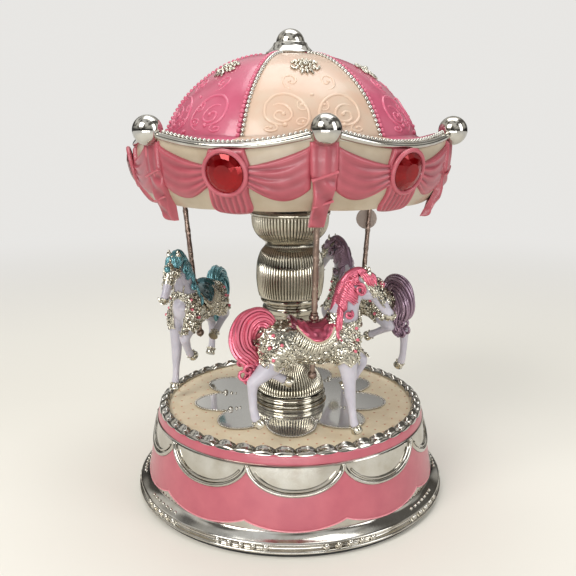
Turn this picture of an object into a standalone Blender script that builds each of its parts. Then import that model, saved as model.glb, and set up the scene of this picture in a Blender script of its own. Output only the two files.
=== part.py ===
"""Carousel music box: a wind-up table ornament.

A turning canopy carries three horses on poles round a fluted column. The hollow base
holds a wind-up movement whose great wheel turns the canopy shaft, the pinned cylinder
and the air-brake governor. The origin is on the turning axis, on the table; +Z is up
and the front is -Y. Lengths are in metres.
"""
import math

import bmesh
import bpy
from mathutils import Matrix, Vector

MM = 0.001
GAP = 0.3 * MM              # between pieces that touch or run on each other
TAU = 2 * math.pi

# --- base ---------------------------------------------------------------------------
BASE_SEGMENTS = 32
FOOT_R = 61.5 * MM          # widest radius, at the foot's lower lip
FOOT_H = 7.0 * MM
FOOT_WALL = 7.0 * MM
PAD_H = 1.0 * MM            # felt ring under the foot
DRUM_FOOT_R = FOOT_R - 4.6 * MM  # drum outside, where it stands on the foot
DRUM_TOP_R = FOOT_R - 9.3 * MM
DRUM_WALL = 1.9 * MM
FLOOR_Z = 33.0 * MM         # top of the floor that the column stands on
DECK_T = 1.8 * MM
COVER_Z = 10.0 * MM         # underside of the bottom cover
COVER_T = 1.5 * MM
LEDGE_H = 4.5 * MM          # ledge inside the drum that the cover screws into
RUFFLE_W = 3.6 * MM
RUFFLE_H = 2.2 * MM
PETALS = 9
PETAL_TIP_R = 38.5 * MM
PETAL_HALF_WIDTH = 9.2 * MM
PETAL_T = 0.4 * MM
SCREW_R = 0.9 * MM
SCREW_BITE = 3.0 * MM
SCREW_HEAD_R = 1.8 * MM
SCREW_HEAD_H = 0.9 * MM
COVER_SCREWS = 3
COVER_SCREW_TURN = math.radians(60)
SCREW_CIRCLE = DRUM_TOP_R - DRUM_WALL + SCREW_R

# --- column -------------------------------------------------------------------------
COLUMN_SEGMENTS = 20
COLUMN_FOOT_R = 14.2 * MM
COLUMN_BULGE_R = 13.35 * MM
COLUMN_TOP_R = 15.2 * MM
COLUMN_H = 76.5 * MM        # floor to the top of the capital
COLUMN_UNIT = COLUMN_H / 76.5    # one millimetre of the column at its nominal height
COLUMN_BORE_R = 3.2 * MM

# --- canopy -------------------------------------------------------------------------
CANOPY_SEGMENTS = 72
RIM_SEGMENTS = 48
CORNERS = 6
CORNER_TURN = math.radians(10)   # the front corner stands this far right of the front
CORNER_R = 60.0 * MM        # axis to a corner ball's centre
RIM_Z = FLOOR_Z + COLUMN_H + 30.1 * MM   # height of the rim at the corner balls
RIM_SAG = 4.6 * MM          # how far the rim droops between two balls
RIM_TUBE_R = 1.2 * MM
RIM_MID_R = CORNER_R - 3.0 * MM  # the rim's radius midway between two balls
BALL_R = 4.95 * MM
SKIRT_WALL = 1.6 * MM
SKIRT_TOP_Z = RIM_Z - RIM_SAG - RIM_TUBE_R - GAP
SKIRT_TOP_R = RIM_MID_R
SKIRT_BOTTOM_R = SKIRT_TOP_R - 5.2 * MM
SKIRT_DROP = 19.0 * MM      # skirt's top edge to its plain bottom edge
LOBE_DROP = 2.2 * MM        # the jewel lobes hang this much lower
RIBBON_DROP = 5.8 * MM      # the corner ribbons hang this much lower
DOME_R = CORNER_R - 13.2 * MM
DOME_H = 28.6 * MM
DOME_WALL = 1.5 * MM
DOME_STEPS = 6
BRIM_R = RIM_MID_R - 2.6 * MM
BRIM_T = 1.2 * MM
JEWEL_R = 6.1 * MM
JEWEL_H = 3.2 * MM
JEWEL_DROP = 7.6 * MM       # jewel centre below the skirt's top edge
FINIAL_BALL_R = 5.3 * MM
FINIAL_RISE = 4.6 * MM      # dome's top to the finial ball's centre
HUB_PLATE_R = SKIRT_BOTTOM_R - SKIRT_WALL
HUB_PLATE_RISE = 3.0 * MM   # plate's underside above the skirt's plain bottom edge
HUB_PLATE_T = 1.6 * MM
HUB_BOSS_R = 6.5 * MM
TAB_R = 4.5 * MM            # round tab that hangs beside the rear pole
TAB_T = 0.8 * MM
TAB_DROP = 14.8 * MM
TAB_STALK = 1.8 * MM         # half width of its hanger

# --- poles and horses -----------------------------------------------------------------
RIDERS = 3
RIDER_TURN = math.radians(11)    # front pole, measured as the corners are
POLE_R = 0.9 * MM
POLE_TOP_OUT = CORNER_R - 14.0 * MM  # pole's distance from the axis at its top
POLE_LEAN = 0.10            # it leans in this much for each unit down
POLE_KNOB_R = 1.7 * MM
HOOF_Z = FLOOR_Z + 3.0 * MM
BELLY_Z = HOOF_Z + 24.3 * MM
SADDLE_Z = HOOF_Z + 40.5 * MM
POLE_END = 3.4 * MM         # the pole's knob hangs this far below the belly
HORSE_SCALE = 1.0
HORSE_VOXEL = 0.95 * MM
HORSE_FACES = 520

# --- music movement -------------------------------------------------------------------
BEDPLATE_T = 1.6 * MM
BEDPLATE_CORNERS = ((-41, -14), (-30, -34), (-6, -34), (6, -10), (6, 10), (2, 29), (-30, 29), (-41, 18))
BARREL_AT = (-17.0 * MM, -17.0 * MM)
BARREL_TEETH = 18
SHAFT_GEAR_TEETH = 12
DRUM_BARREL_R = 10.0 * MM
BARREL_WALL = 1.2 * MM
WHEEL_T = 2.0 * MM
TOOTH_HEIGHT = 0.85         # addendum, in modules
TOOTH_DEPTH = 1.05          # dedendum, in modules
CROWN_TOOTH_H = 1.3 * MM
CROWN_IN_R = 10.9 * MM
CYLINDER_PINION_TEETH = 8
CYLINDER_R = 5.0 * MM
CYLINDER_L = 18.0 * MM
PIN_H = 0.35 * MM
CYLINDER_GEAR_TEETH = 24
GOVERNOR_PINION_TEETH = 8
CYLINDER_GEAR_R = CYLINDER_R + 0.6 * MM
CYLINDER_GEAR_T = 1.5 * MM
GEAR_CLEARANCE = 0.5 * MM   # cylinder's wheel to the bedplate
POST_HALF = 1.7 * MM        # half the width of a cylinder post
POST_T = 1.4 * MM
WORM_WHEEL_TEETH = 16
WORM_WHEEL_R = 4.0 * MM
WORM_R = 1.5 * MM
WORM_WHEEL_AT = 5.2 * MM    # worm wheel beyond the cylinder's end
WORM_WHEEL_T = 0.8 * MM
FRAME_BASE_T = 1.2 * MM
BEARING_T = 1.5 * MM
FAN_REACH = 4.2 * MM
FAN_HALF_H = 0.9 * MM
FAN_BLADE_T = 0.5 * MM
COMB_TEETH = 18
COMB_TOOTH_L = 9.0 * MM
COMB_T = 0.8 * MM
ARBOR_R = 1.5 * MM
SHAFT_R = 1.5 * MM
PIVOT_R = 0.7 * MM
KEY_SPAN = 17.0 * MM
KEY_HUB_R = 2.8 * MM
KEY_END_R = 2.2 * MM        # rounded ends of the key's wings
KEY_HALF_T = 0.8 * MM
KEY_GRIP = 4.6 * MM         # arbor below the cover


# --- scene, materials and mesh helpers --------------------------------------------------
def clear_scene():
    for old in list(bpy.data.objects):
        bpy.data.objects.remove(old, do_unlink=True)


def material(name, colour, roughness, metallic):
    made = bpy.data.materials.new(name)
    made.use_nodes = True
    shader = made.node_tree.nodes["Principled BSDF"]
    shader.inputs["Base Color"].default_value = (*colour, 1.0)
    shader.inputs["Roughness"].default_value = roughness
    shader.inputs["Metallic"].default_value = metallic
    made.diffuse_color = (*colour, 1.0)
    return made


def add_object(name, bm, finish, sharp_degrees=35):
    """Turn a bmesh into a smooth-shaded scene object with one material."""
    bmesh.ops.recalc_face_normals(bm, faces=bm.faces)
    mesh = bpy.data.meshes.new(name)
    bm.to_mesh(mesh)
    bm.free()
    mesh.materials.append(finish)
    mesh.polygons.foreach_set("use_smooth", [True] * len(mesh.polygons))
    mesh.set_sharp_from_angle(angle=math.radians(sharp_degrees))
    made = bpy.data.objects.new(name, mesh)
    bpy.context.collection.objects.link(made)
    return made


def ring_body(profile_at, angles):
    """Closed bmesh from a closed (radius, height) loop that may change with the angle."""
    bm = bmesh.new()
    rings = []
    for angle in angles:
        loop = profile_at(angle)
        rings.append([bm.verts.new((r * math.cos(angle), r * math.sin(angle), z)) for r, z in loop])
    for here, after in zip(rings, rings[1:] + rings[:1]):
        for i, j in zip(range(len(here)), [*range(1, len(here)), 0]):
            bm.faces.new((here[i], after[i], after[j], here[j]))
    return bm


def even_angles(count, start=0.0):
    return [start + TAU * i / count for i in range(count)]


def turned_ring(name, profile, finish, segments):
    """Lathe a closed loop that stays off the axis."""
    return add_object(name, ring_body(lambda angle: profile, even_angles(segments)), finish)


def turned_solid(name, profile, finish, segments):
    """Lathe an open outline whose first and last points are on the axis."""
    bm = bmesh.new()
    rings = [[bm.verts.new((r * math.cos(a), r * math.sin(a), z)) for a in even_angles(segments)]
             for r, z in profile[1:-1]]
    for low, high in zip(rings, rings[1:]):
        for i in range(segments):
            j = (i + 1) % segments
            bm.faces.new((low[i], low[j], high[j], high[i]))
    for (_, tip), (_, edge), ring in ((profile[0], profile[1], rings[0]),
                                      (profile[-1], profile[-2], rings[-1])):
        if abs(tip - edge) < 1e-9:
            bm.faces.new(ring)
            continue
        point = bm.verts.new((0, 0, tip))
        for i in range(segments):
            bm.faces.new((point, ring[i], ring[(i + 1) % segments]))
    return add_object(name, bm, finish)


def prism(name, outline, low, high, finish):
    """Extrude a flat (x, y) outline between two heights."""
    bm = bmesh.new()
    bottom = [bm.verts.new((x, y, low)) for x, y in outline]
    top = [bm.verts.new((x, y, high)) for x, y in outline]
    bm.faces.new(bottom[::-1])
    bm.faces.new(top)
    for i in range(len(outline)):
        j = (i + 1) % len(outline)
        bm.faces.new((bottom[i], bottom[j], top[j], top[i]))
    return add_object(name, bm, finish)


def box(name, low, high, finish):
    x0, y0, z0 = low
    x1, y1, z1 = high
    return prism(name, [(x0, y0), (x1, y0), (x1, y1), (x0, y1)], z0, z1, finish)


def rod(name, start, end, radius, finish, segments=12):
    """Straight round bar between two points."""
    start, end = Vector(start), Vector(end)
    length = (end - start).length
    made = turned_solid(name, [(0, 0), (radius, 0), (radius, length), (0, length)], finish, segments)
    place(made, start, (end - start).to_track_quat("Z", "Y").to_matrix().to_4x4())
    return made


def place(made, location, turn=None):
    """Bake a rotation, then set the object's location."""
    if turn is not None:
        made.data.transform(turn)
    made.location = location
    return made


def combine(made, tools, operation):
    """Apply a Boolean with each tool object, then remove the tools."""
    for tool in tools:
        step = made.modifiers.new(operation, "BOOLEAN")
        step.operation = operation
        step.object = tool
    bpy.context.view_layer.update()
    graph = bpy.context.evaluated_depsgraph_get()
    mesh = bpy.data.meshes.new_from_object(made.evaluated_get(graph))
    made.modifiers.clear()
    made.data = mesh
    for tool in tools:
        bpy.data.objects.remove(tool, do_unlink=True)
    return made


def carve(made, tools):
    return combine(made, tools, "DIFFERENCE")


def fuse(made, tools):
    return combine(made, tools, "UNION")


def polar(radius, angle, height=0.0):
    """Point at an angle counted from the front, positive to the right."""
    return Vector((radius * math.sin(angle), -radius * math.cos(angle), height))


def corner_angle(index):
    return CORNER_TURN + index * TAU / CORNERS


def rider_angle(index):
    return RIDER_TURN + index * TAU / RIDERS


def from_corner(angle):
    """Signed angle to the nearest canopy corner, for a lathe angle counted from +X."""
    step = TAU / CORNERS
    front = angle + math.pi / 2 - CORNER_TURN
    return (front + step / 2) % step - step / 2


def gear_outline(teeth, pitch_r, phase, addendum=TOOTH_HEIGHT, dedendum=TOOTH_DEPTH):
    """Tooth outline as (radius, angle) pairs, four to a tooth, with real backlash."""
    module = 2 * pitch_r / teeth
    tip, root = pitch_r + addendum * module, pitch_r - dedendum * module
    points = []
    for tooth in range(teeth):
        centre = phase + TAU * tooth / teeth
        for share, radius in ((-0.27, root), (-0.10, tip), (0.10, tip), (0.27, root)):
            points.append((radius, centre + share * TAU / teeth))
    return points


def gear_tip(teeth, pitch_r):
    return pitch_r * (1 + 2 * TOOTH_HEIGHT / teeth)


def crown_addendum():
    return CROWN_TOOTH_H / 2 - GAP


def gear(name, teeth, pitch_r, thickness, bore_r, phase, finish):
    """Spur gear with a bore, standing on z = 0."""
    outline = gear_outline(teeth, pitch_r, phase)
    radius_at = {angle: radius for radius, angle in outline}

    def profile(angle):
        outer = radius_at[angle]
        return [(bore_r, 0), (outer, 0), (outer, thickness), (bore_r, thickness)]

    return add_object(name, ring_body(profile, list(radius_at)), finish, 20)


# --- base -------------------------------------------------------------------------------
def drum_radius(height):
    """Outside of the drum: a gentle convex cone from the foot to the floor edge."""
    share = (height - FOOT_H) / (FLOOR_Z - FOOT_H)
    return DRUM_FOOT_R - (DRUM_FOOT_R - DRUM_TOP_R) * share ** 1.15


def build_base(finish):
    foot_in = FOOT_R - FOOT_WALL
    low = PAD_H + GAP
    turned_ring("base_pad_ring",
                [(foot_in + MM, 0), (FOOT_R - 1.5 * MM, 0), (FOOT_R - 1.5 * MM, PAD_H),
                 (foot_in + MM, PAD_H)],
                finish["felt"], BASE_SEGMENTS)

    groove = FOOT_R - 1.6 * MM
    neck = DRUM_FOOT_R + 0.3 * MM
    turned_ring("foot_ring",
                [(foot_in, low), (FOOT_R - 0.7 * MM, low), (FOOT_R, low + 0.5 * MM),
                 (FOOT_R - 0.3 * MM, 2.5 * MM), (groove, 2.7 * MM), (groove, 4.4 * MM),
                 (groove + 0.8 * MM, 4.7 * MM), (groove + 0.7 * MM, 5.3 * MM),
                 ((groove + neck) / 2, 5.9 * MM), (neck, FOOT_H), (foot_in, FOOT_H)],
                finish["chrome"], BASE_SEGMENTS)

    build_drum(finish)

    deck_r = DRUM_TOP_R - DRUM_WALL - GAP
    shaft_hole = SHAFT_R + GAP
    turned_ring("floor_deck",
                [(shaft_hole, FLOOR_Z - DECK_T), (deck_r, FLOOR_Z - DECK_T), (deck_r, FLOOR_Z),
                 (shaft_hole, FLOOR_Z)],
                finish["cream"], BASE_SEGMENTS)

    foot = FLOOR_Z + GAP
    edge = DRUM_TOP_R + 0.1 * MM
    turned_ring("floor_ruffle",
                [(edge - RUFFLE_W, foot), (edge, foot + 0.2 * MM), (edge + 0.1 * MM, foot + RUFFLE_H * 0.5),
                 (edge - RUFFLE_W * 0.3, foot + RUFFLE_H), (edge - RUFFLE_W * 0.8, foot + RUFFLE_H * 0.8)],
                finish["chrome"], BASE_SEGMENTS)

    build_petals(finish)
    build_cover(finish)


def build_drum(finish):
    """Enamelled drum with a ledge for the cover low down and a rest for the floor."""
    base = FOOT_H + GAP
    cover_top = COVER_Z + COVER_T + GAP
    rest = FLOOR_Z - DECK_T - GAP
    bore = DRUM_TOP_R - DRUM_WALL
    ledge_r = bore - 1.2 * MM
    heights = [base + (FLOOR_Z - base) * i / 3 for i in range(4)]
    outside = [(drum_radius(z), z) for z in heights]
    inside = [(bore, FLOOR_Z), (bore, rest), (ledge_r, rest), (ledge_r, rest - 1.2 * MM),
              (bore, rest - 2.4 * MM), (bore, cover_top + LEDGE_H + 1.5 * MM),
              (ledge_r, cover_top + LEDGE_H), (ledge_r, cover_top),
              (drum_radius(cover_top) - DRUM_WALL, cover_top),
              (drum_radius(base) - DRUM_WALL, base)]
    drum = turned_ring("base_drum", outside + inside, finish["pink"], BASE_SEGMENTS)
    hole_top = cover_top + SCREW_BITE + GAP
    holes = [rod("hole", polar(SCREW_CIRCLE, a, COVER_Z), polar(SCREW_CIRCLE, a, hole_top),
                 SCREW_R + GAP, finish["pink"], 8) for a in screw_angles()]
    carve(drum, holes)


def screw_angles():
    return even_angles(COVER_SCREWS, COVER_SCREW_TURN)


def build_petals(finish):
    """Thin mirror plate cut as a ring of leaf shapes round the column's foot."""
    inner = COLUMN_FOOT_R + GAP + 0.2 * MM
    length = (PETAL_TIP_R - inner) / 2
    centre = inner + length
    low = FLOOR_Z + GAP
    step = TAU / PETALS

    def profile(angle):
        off = (angle + math.pi / 2 + step / 2) % step - step / 2
        # outer crossing of a ray with the leaf, an ellipse along the radius
        a = (math.cos(off) / length) ** 2 + (math.sin(off) / PETAL_HALF_WIDTH) ** 2
        b = centre * math.cos(off) / length ** 2
        c = (centre / length) ** 2 - 1
        outer = (b + math.sqrt(max(b * b - a * c, 0))) / a
        return [(inner, low), (outer, low), (outer, low + PETAL_T), (inner, low + PETAL_T)]

    angles = even_angles(PETALS * 8, -math.pi / 2)
    add_object("petal_rosette", ring_body(profile, angles), finish["mirror"])


def build_cover(finish):
    radius = drum_radius(COVER_Z) - DRUM_WALL - GAP
    top = COVER_Z + COVER_T
    cover = turned_solid("bottom_cover",
                         [(0, COVER_Z), (radius - 0.4 * MM, COVER_Z), (radius, COVER_Z + 0.4 * MM),
                          (radius, top), (0, top)], finish["cream"], BASE_SEGMENTS)
    holes = [rod("hole", polar(SCREW_CIRCLE, a, 0), polar(SCREW_CIRCLE, a, 2 * top),
                 SCREW_R + GAP, finish["cream"], 8) for a in screw_angles()]
    holes.append(rod("hole", (*BARREL_AT, 0), (*BARREL_AT, 2 * top), ARBOR_R + GAP, finish["cream"], 16))
    carve(cover, holes)
    head = COVER_Z - GAP
    for index, angle in enumerate(screw_angles()):
        made = turned_solid("cover_screw_%d" % (index + 1),
                            [(0, head - SCREW_HEAD_H), (SCREW_HEAD_R, head - SCREW_HEAD_H * 0.7),
                             (SCREW_HEAD_R, head), (SCREW_R, head),
                             (SCREW_R, top + GAP + SCREW_BITE), (0, top + GAP + SCREW_BITE)],
                            finish["steel"], 10)
        place(made, polar(SCREW_CIRCLE, angle))


# --- column -------------------------------------------------------------------------------
def build_column(finish):
    """Five turned pieces stacked on the floor round the canopy shaft."""
    foot = COLUMN_FOOT_R
    bulge = COLUMN_BULGE_R
    top_r = COLUMN_TOP_R
    unit = COLUMN_UNIT
    low = FLOOR_Z + GAP
    bore = COLUMN_BORE_R
    running = SHAFT_R + GAP
    pieces = (
        ("column_foot", bore, 4.4,
         [(foot - 0.1 * MM, 0), (foot, 1.6), (foot - 0.6 * MM, 2.1), (foot, 2.7), (foot - 0.1 * MM, 3.8),
          (foot - 0.7 * MM, 4.4)]),
        ("column_dome", bore, 14.4,
         [(foot - 0.7 * MM, 0), (foot - 0.8 * MM, 1.6), (foot * 0.87, 4.4), (foot * 0.72, 8.0),
          (foot * 0.54, 11.4), (foot * 0.44, 14.4)]),
        ("column_stem", bore, 23.2,
         [(foot * 0.5, 0), (foot * 0.56, 0.9), (foot * 0.47, 2.0), (foot * 0.50, 6.0), (foot * 0.58, 11.5),
          (foot * 0.66, 16.0), (foot * 0.67, 17.4), (bulge * 0.81, 18.4), (bulge * 0.81, 20.4),
          (bulge * 0.77, 20.9), (bulge * 0.85, 22.0), (bulge * 0.88, 23.2)]),
        ("column_barrel", bore, 21.0,
         [(bulge * 0.91, 0), (bulge * 0.94, 1.3), (bulge * 0.985, 5.0), (bulge, 9.0), (bulge * 0.985, 12.6),
          (bulge * 0.93, 15.6), (bulge * 0.84, 18.4), (bulge * 0.73, 20.2), (bulge * 0.71, 21.0)]),
        ("column_capital", running, 12.3,
         [(top_r * 0.64, 0), (top_r * 0.70, 1.2), (top_r * 0.82, 2.7), (top_r * 0.92, 4.6),
          (top_r * 0.985, 7.0), (top_r, 9.2), (top_r, 11.0), (top_r + 0.35 * MM, 11.3),
          (top_r + 0.35 * MM, 12.3)]),
    )
    for name, bore_r, height, outside in pieces:
        tall = height * unit
        wall = [(r, low + z * unit) for r, z in outside]
        turned_ring(name, wall + [(bore_r, low + tall), (bore_r, low)], finish["chrome"], COLUMN_SEGMENTS)
        low += tall + GAP
    return low - GAP


# --- canopy -------------------------------------------------------------------------------
def rim_path(angle):
    """Radius and height of the rim's centre line: cusps at the balls, droops between."""
    share = abs(from_corner(angle)) / (math.pi / CORNERS)
    droop = 1 - (1 - share) ** 2
    return CORNER_R + (RIM_MID_R - CORNER_R) * droop, RIM_Z - RIM_SAG * droop


def skirt_radius(height):
    share = (SKIRT_TOP_Z - height) / SKIRT_DROP
    return SKIRT_TOP_R - (SKIRT_TOP_R - SKIRT_BOTTOM_R) * share


def skirt_drop(angle):
    """How far the skirt hangs at an angle: ribbons at the corners, lobes midway."""
    off = abs(from_corner(angle))
    middle = math.pi / CORNERS - off
    if off < math.radians(6):
        return SKIRT_DROP + RIBBON_DROP
    if middle < math.radians(11):
        return SKIRT_DROP + LOBE_DROP * math.sqrt(1 - (middle / math.radians(11)) ** 2)
    return SKIRT_DROP


def build_canopy(finish, column_top):
    def skirt(angle):
        bottom = SKIRT_TOP_Z - skirt_drop(angle)
        mid = SKIRT_TOP_Z - SKIRT_DROP * 0.5
        return [(skirt_radius(SKIRT_TOP_Z), SKIRT_TOP_Z), (skirt_radius(mid) + 0.3 * MM, mid),
                (skirt_radius(bottom), bottom), (skirt_radius(bottom) - SKIRT_WALL, bottom),
                (skirt_radius(mid) - SKIRT_WALL, mid),
                (skirt_radius(SKIRT_TOP_Z) - SKIRT_WALL, SKIRT_TOP_Z)]

    add_object("canopy_skirt", ring_body(skirt, even_angles(CANOPY_SEGMENTS, CORNER_TURN - math.pi / 2)),
               finish["cream"])

    def rim(angle):
        radius, height = rim_path(angle)
        return [(radius + RIM_TUBE_R * math.cos(a), height + RIM_TUBE_R * math.sin(a))
                for a in even_angles(6)]

    add_object("canopy_rim", ring_body(rim, even_angles(RIM_SEGMENTS, CORNER_TURN - math.pi / 2)),
               finish["chrome"])
    build_dome(finish)
    build_hub(finish, column_top)
    build_corners(finish)
    build_finial(finish)


def dome_profile():
    """Outside of the dome from its foot to the finial seat: flatter above, steep below."""
    foot = RIM_Z - 1.6 * MM
    seat = 0.17
    points = []
    for i in range(DOME_STEPS + 1):
        swing = math.acos(seat) * i / DOME_STEPS
        share = math.sin(swing) ** 1.06
        points.append((DOME_R * math.cos(swing) ** 1.1, foot + DOME_H * share))
    return points


def build_dome(finish):
    outside = dome_profile()
    foot = outside[0][1]
    inside = [(max(r - DOME_WALL, 0), z - DOME_WALL * (0.3 + 0.7 * i / DOME_STEPS))
              for i, (r, z) in enumerate(outside)]
    brim_z = SKIRT_TOP_Z + GAP
    loop = ([(BRIM_R, brim_z), (BRIM_R, brim_z + BRIM_T)] + outside
            + [(outside[-1][0], inside[-1][1])] + inside[-2::-1][:-1]
            + [(DOME_R - DOME_WALL, foot - 1.4 * MM), (DOME_R - DOME_WALL, brim_z)])
    turned_ring("canopy_dome", loop, finish["cream"], BASE_SEGMENTS)


def build_hub(finish, column_top):
    """Carrier plate inside the canopy, with its boss on the shaft and a hanging tab."""
    plate_low = plate_height()
    running = SHAFT_R + GAP
    boss_low = column_top + 3 * GAP
    hub = turned_ring("canopy_hub",
                      [(running, boss_low), (HUB_BOSS_R, boss_low), (HUB_BOSS_R, plate_low),
                       (HUB_PLATE_R, plate_low), (HUB_PLATE_R, plate_low + HUB_PLATE_T),
                       (running, plate_low + HUB_PLATE_T)],
                      finish["cream"], BASE_SEGMENTS)
    tab_z = plate_low - TAB_DROP
    angle = rider_angle(1) + math.radians(4)
    half = TAB_T / 2
    stalk = box("tab", (-TAB_STALK, -half, 0), (TAB_STALK, half, plate_low + 0.5 * HUB_PLATE_T - tab_z),
                finish["cream"])
    disc = turned_solid("disc", [(0, -half), (TAB_R, -half), (TAB_R, half), (0, half)], finish["cream"], 16)
    disc.data.transform(Matrix.Rotation(math.pi / 2, 4, "X"))
    for piece in (stalk, disc):
        place(piece, polar(HUB_PLATE_R - 3.4 * MM, angle, tab_z))
    fuse(hub, [stalk, disc])


def plate_height():
    """Underside of the carrier plate, just above the skirt's plain bottom edge."""
    return SKIRT_TOP_Z - SKIRT_DROP + HUB_PLATE_RISE


def build_corners(finish):
    jewel_z = SKIRT_TOP_Z - JEWEL_DROP
    slope = math.atan2(SKIRT_TOP_R - SKIRT_BOTTOM_R, SKIRT_DROP)
    for index in range(CORNERS):
        angle = corner_angle(index)
        ball = turned_solid("corner_ball_%d" % (index + 1), sphere_profile(BALL_R, 8), finish["chrome"], 12)
        place(ball, polar(CORNER_R, angle, RIM_Z))
        carve(ball, [rim_tunnel(angle, finish)])

        between = angle + math.pi / CORNERS
        facets = [(0, 0), (JEWEL_R, 0), (JEWEL_R, JEWEL_H * 0.3), (JEWEL_R * 0.75, JEWEL_H * 0.8),
                  (JEWEL_R * 0.3, JEWEL_H), (0, JEWEL_H)]
        jewel = turned_solid("jewel_%d" % (index + 1), facets, finish["ruby"], 12)
        face_out = (Matrix.Rotation(between, 4, "Z") @ Matrix.Rotation(math.pi / 2 + slope, 4, "X"))
        place(jewel, polar(skirt_radius(jewel_z) + GAP + 0.45 * MM, between, jewel_z), face_out)


def sphere_profile(radius, steps):
    return [(radius * math.sin(math.pi * i / steps) if 0 < i < steps else 0.0,
             -radius * math.cos(math.pi * i / steps)) for i in range(steps + 1)]


def rim_tunnel(angle, finish):
    """Cutter that lets the rim run through a corner ball."""
    along = Vector((math.cos(angle), math.sin(angle), 0))
    reach = BALL_R * 1.2
    droop = RIM_SAG * (1 - (1 - reach / (CORNER_R * math.pi / CORNERS)) ** 2)
    centre = polar(CORNER_R, angle, RIM_Z - droop / 2)
    return rod("tunnel", centre - along * reach, centre + along * reach,
               RIM_TUBE_R + GAP + droop * 0.75, finish["chrome"], 10)


def finial_height():
    """Centre of the top ball."""
    return dome_profile()[-1][1] + FINIAL_RISE


def build_finial(finish):
    seat_r, seat_z = dome_profile()[-1]
    centre = finial_height()
    cup = FINIAL_BALL_R + GAP
    neck = seat_r - DOME_WALL * 0.5
    inner = [(cup * math.cos(a), centre + cup * math.sin(a))
             for a in (math.radians(-4), math.radians(-32), math.radians(-60))]
    low = seat_z - 2.6 * MM
    carve_r = seat_r - GAP - 0.1 * MM
    turned_solid("finial_collar",
                 [(0, low), (carve_r, low), (carve_r, seat_z + GAP), (seat_r + 1.0 * MM, seat_z + GAP),
                  (neck + 0.2 * MM, seat_z + 1.8 * MM), (cup + 0.8 * MM, seat_z + 2.9 * MM),
                  (cup + 0.55 * MM, centre - 0.1 * MM), *inner, (0, centre - cup)],
                 finish["chrome"], COLUMN_SEGMENTS)
    ball = turned_solid("finial_ball", sphere_profile(FINIAL_BALL_R, 10), finish["chrome"], 18)
    place(ball, (0, 0, centre))


# --- poles and horses -----------------------------------------------------------------------
def pole_point(index, height):
    """Point on a rider's pole axis, which leans in towards its lower end."""
    top = plate_height() - GAP
    out = POLE_TOP_OUT - POLE_LEAN * (top - height)
    return polar(out, rider_angle(index), height)


# Horse, as chains of balls: forward of the pole, to the outside, above the hooves' rest, radius.
HORSE_CHAINS = (
    ((-12, 0, 34.5, 7.4), (-4, 0, 33.6, 7.2), (5, 0, 33.4, 7.4), (11, 0, 34.6, 6.8)),
    ((11, 0, 35.5, 6.2), (12.6, 0, 43, 5.0), (14.6, 0, 50.5, 4.0), (18, 0, 53.6, 3.4)),
    ((18.6, 0, 54.0, 3.3), (22.2, 0, 50.0, 3.0), (25.6, 0, 43.8, 2.1), (26.2, 0, 42.4, 2.0)),
    ((8.5, 0, 42, 3.0), (10, 0, 49, 3.2), (14, 0, 55, 2.6)),
    ((-6.5, 0, 41.4, 2.4), (0, 0, 39.5, 3.6), (5.5, 0, 40.0, 2.2)),
    ((12.0, 3.2, 30, 4.4), (13.2, 3.6, 22, 2.7), (13.8, 3.6, 15, 1.9), (15.0, 3.6, 5, 1.5),
     (16.2, 3.6, 1.7, 1.7)),
    ((12.5, -3.2, 30, 4.2), (18.8, -3.6, 24.6, 2.4), (16.0, -3.6, 18, 1.6), (12.6, -3.6, 15.2, 1.6)),
    ((-12.5, 3.2, 31.5, 5.2), (-17.5, 3.6, 24.4, 3.0), (-19.8, 3.6, 19.5, 2.1), (-19.6, 3.6, 11, 1.6),
     (-17.8, 3.6, 6.4, 1.8)),
    ((-12.5, -3.2, 31.5, 5.2), (-17.0, -3.6, 26.4, 3.2), (-19.8, -3.6, 24.2, 2.2), (-12.8, -3.6, 20.0, 1.6),
     (-8.0, -3.6, 17.6, 1.8)),
    ((-16.5, 0, 39.0, 2.6), (-20.5, 0, 43.4, 2.4), (-24.4, 0, 40.0, 2.6), (-24.8, 0, 33.5, 2.8),
     (-22.0, 0, 27.5, 2.6), (-22.4, 0, 22.2, 1.9)),
)


def horse_mesh():
    """One casting for all three horses: a voxel skin over the chains, then thinned out."""
    size = HORSE_SCALE * MM
    bm = bmesh.new()
    for chain in HORSE_CHAINS:
        for start, end in zip(chain, chain[1:]):
            a, b = Vector(start[:3]), Vector(end[:3])
            for step in range(5):
                share = step / 4
                radius = start[3] + (end[3] - start[3]) * share
                bmesh.ops.create_icosphere(bm, subdivisions=2, radius=radius * size,
                                           matrix=Matrix.Translation(a.lerp(b, share) * size))
    mesh = bpy.data.meshes.new("horse")
    bm.to_mesh(mesh)
    bm.free()
    form = bpy.data.objects.new("form", mesh)
    bpy.context.collection.objects.link(form)
    skin = form.modifiers.new("skin", "REMESH")
    skin.mode = "VOXEL"
    skin.voxel_size = HORSE_VOXEL
    soften = form.modifiers.new("soften", "SMOOTH")
    soften.iterations = 3
    thin = form.modifiers.new("thin", "DECIMATE")
    bpy.context.view_layer.update()
    faces = len(form.evaluated_get(bpy.context.evaluated_depsgraph_get()).data.polygons) * 2
    thin.ratio = HORSE_FACES / faces
    bpy.context.view_layer.update()
    skinned = bpy.data.meshes.new_from_object(form.evaluated_get(bpy.context.evaluated_depsgraph_get()))
    bpy.data.objects.remove(form, do_unlink=True)
    return skinned


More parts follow.
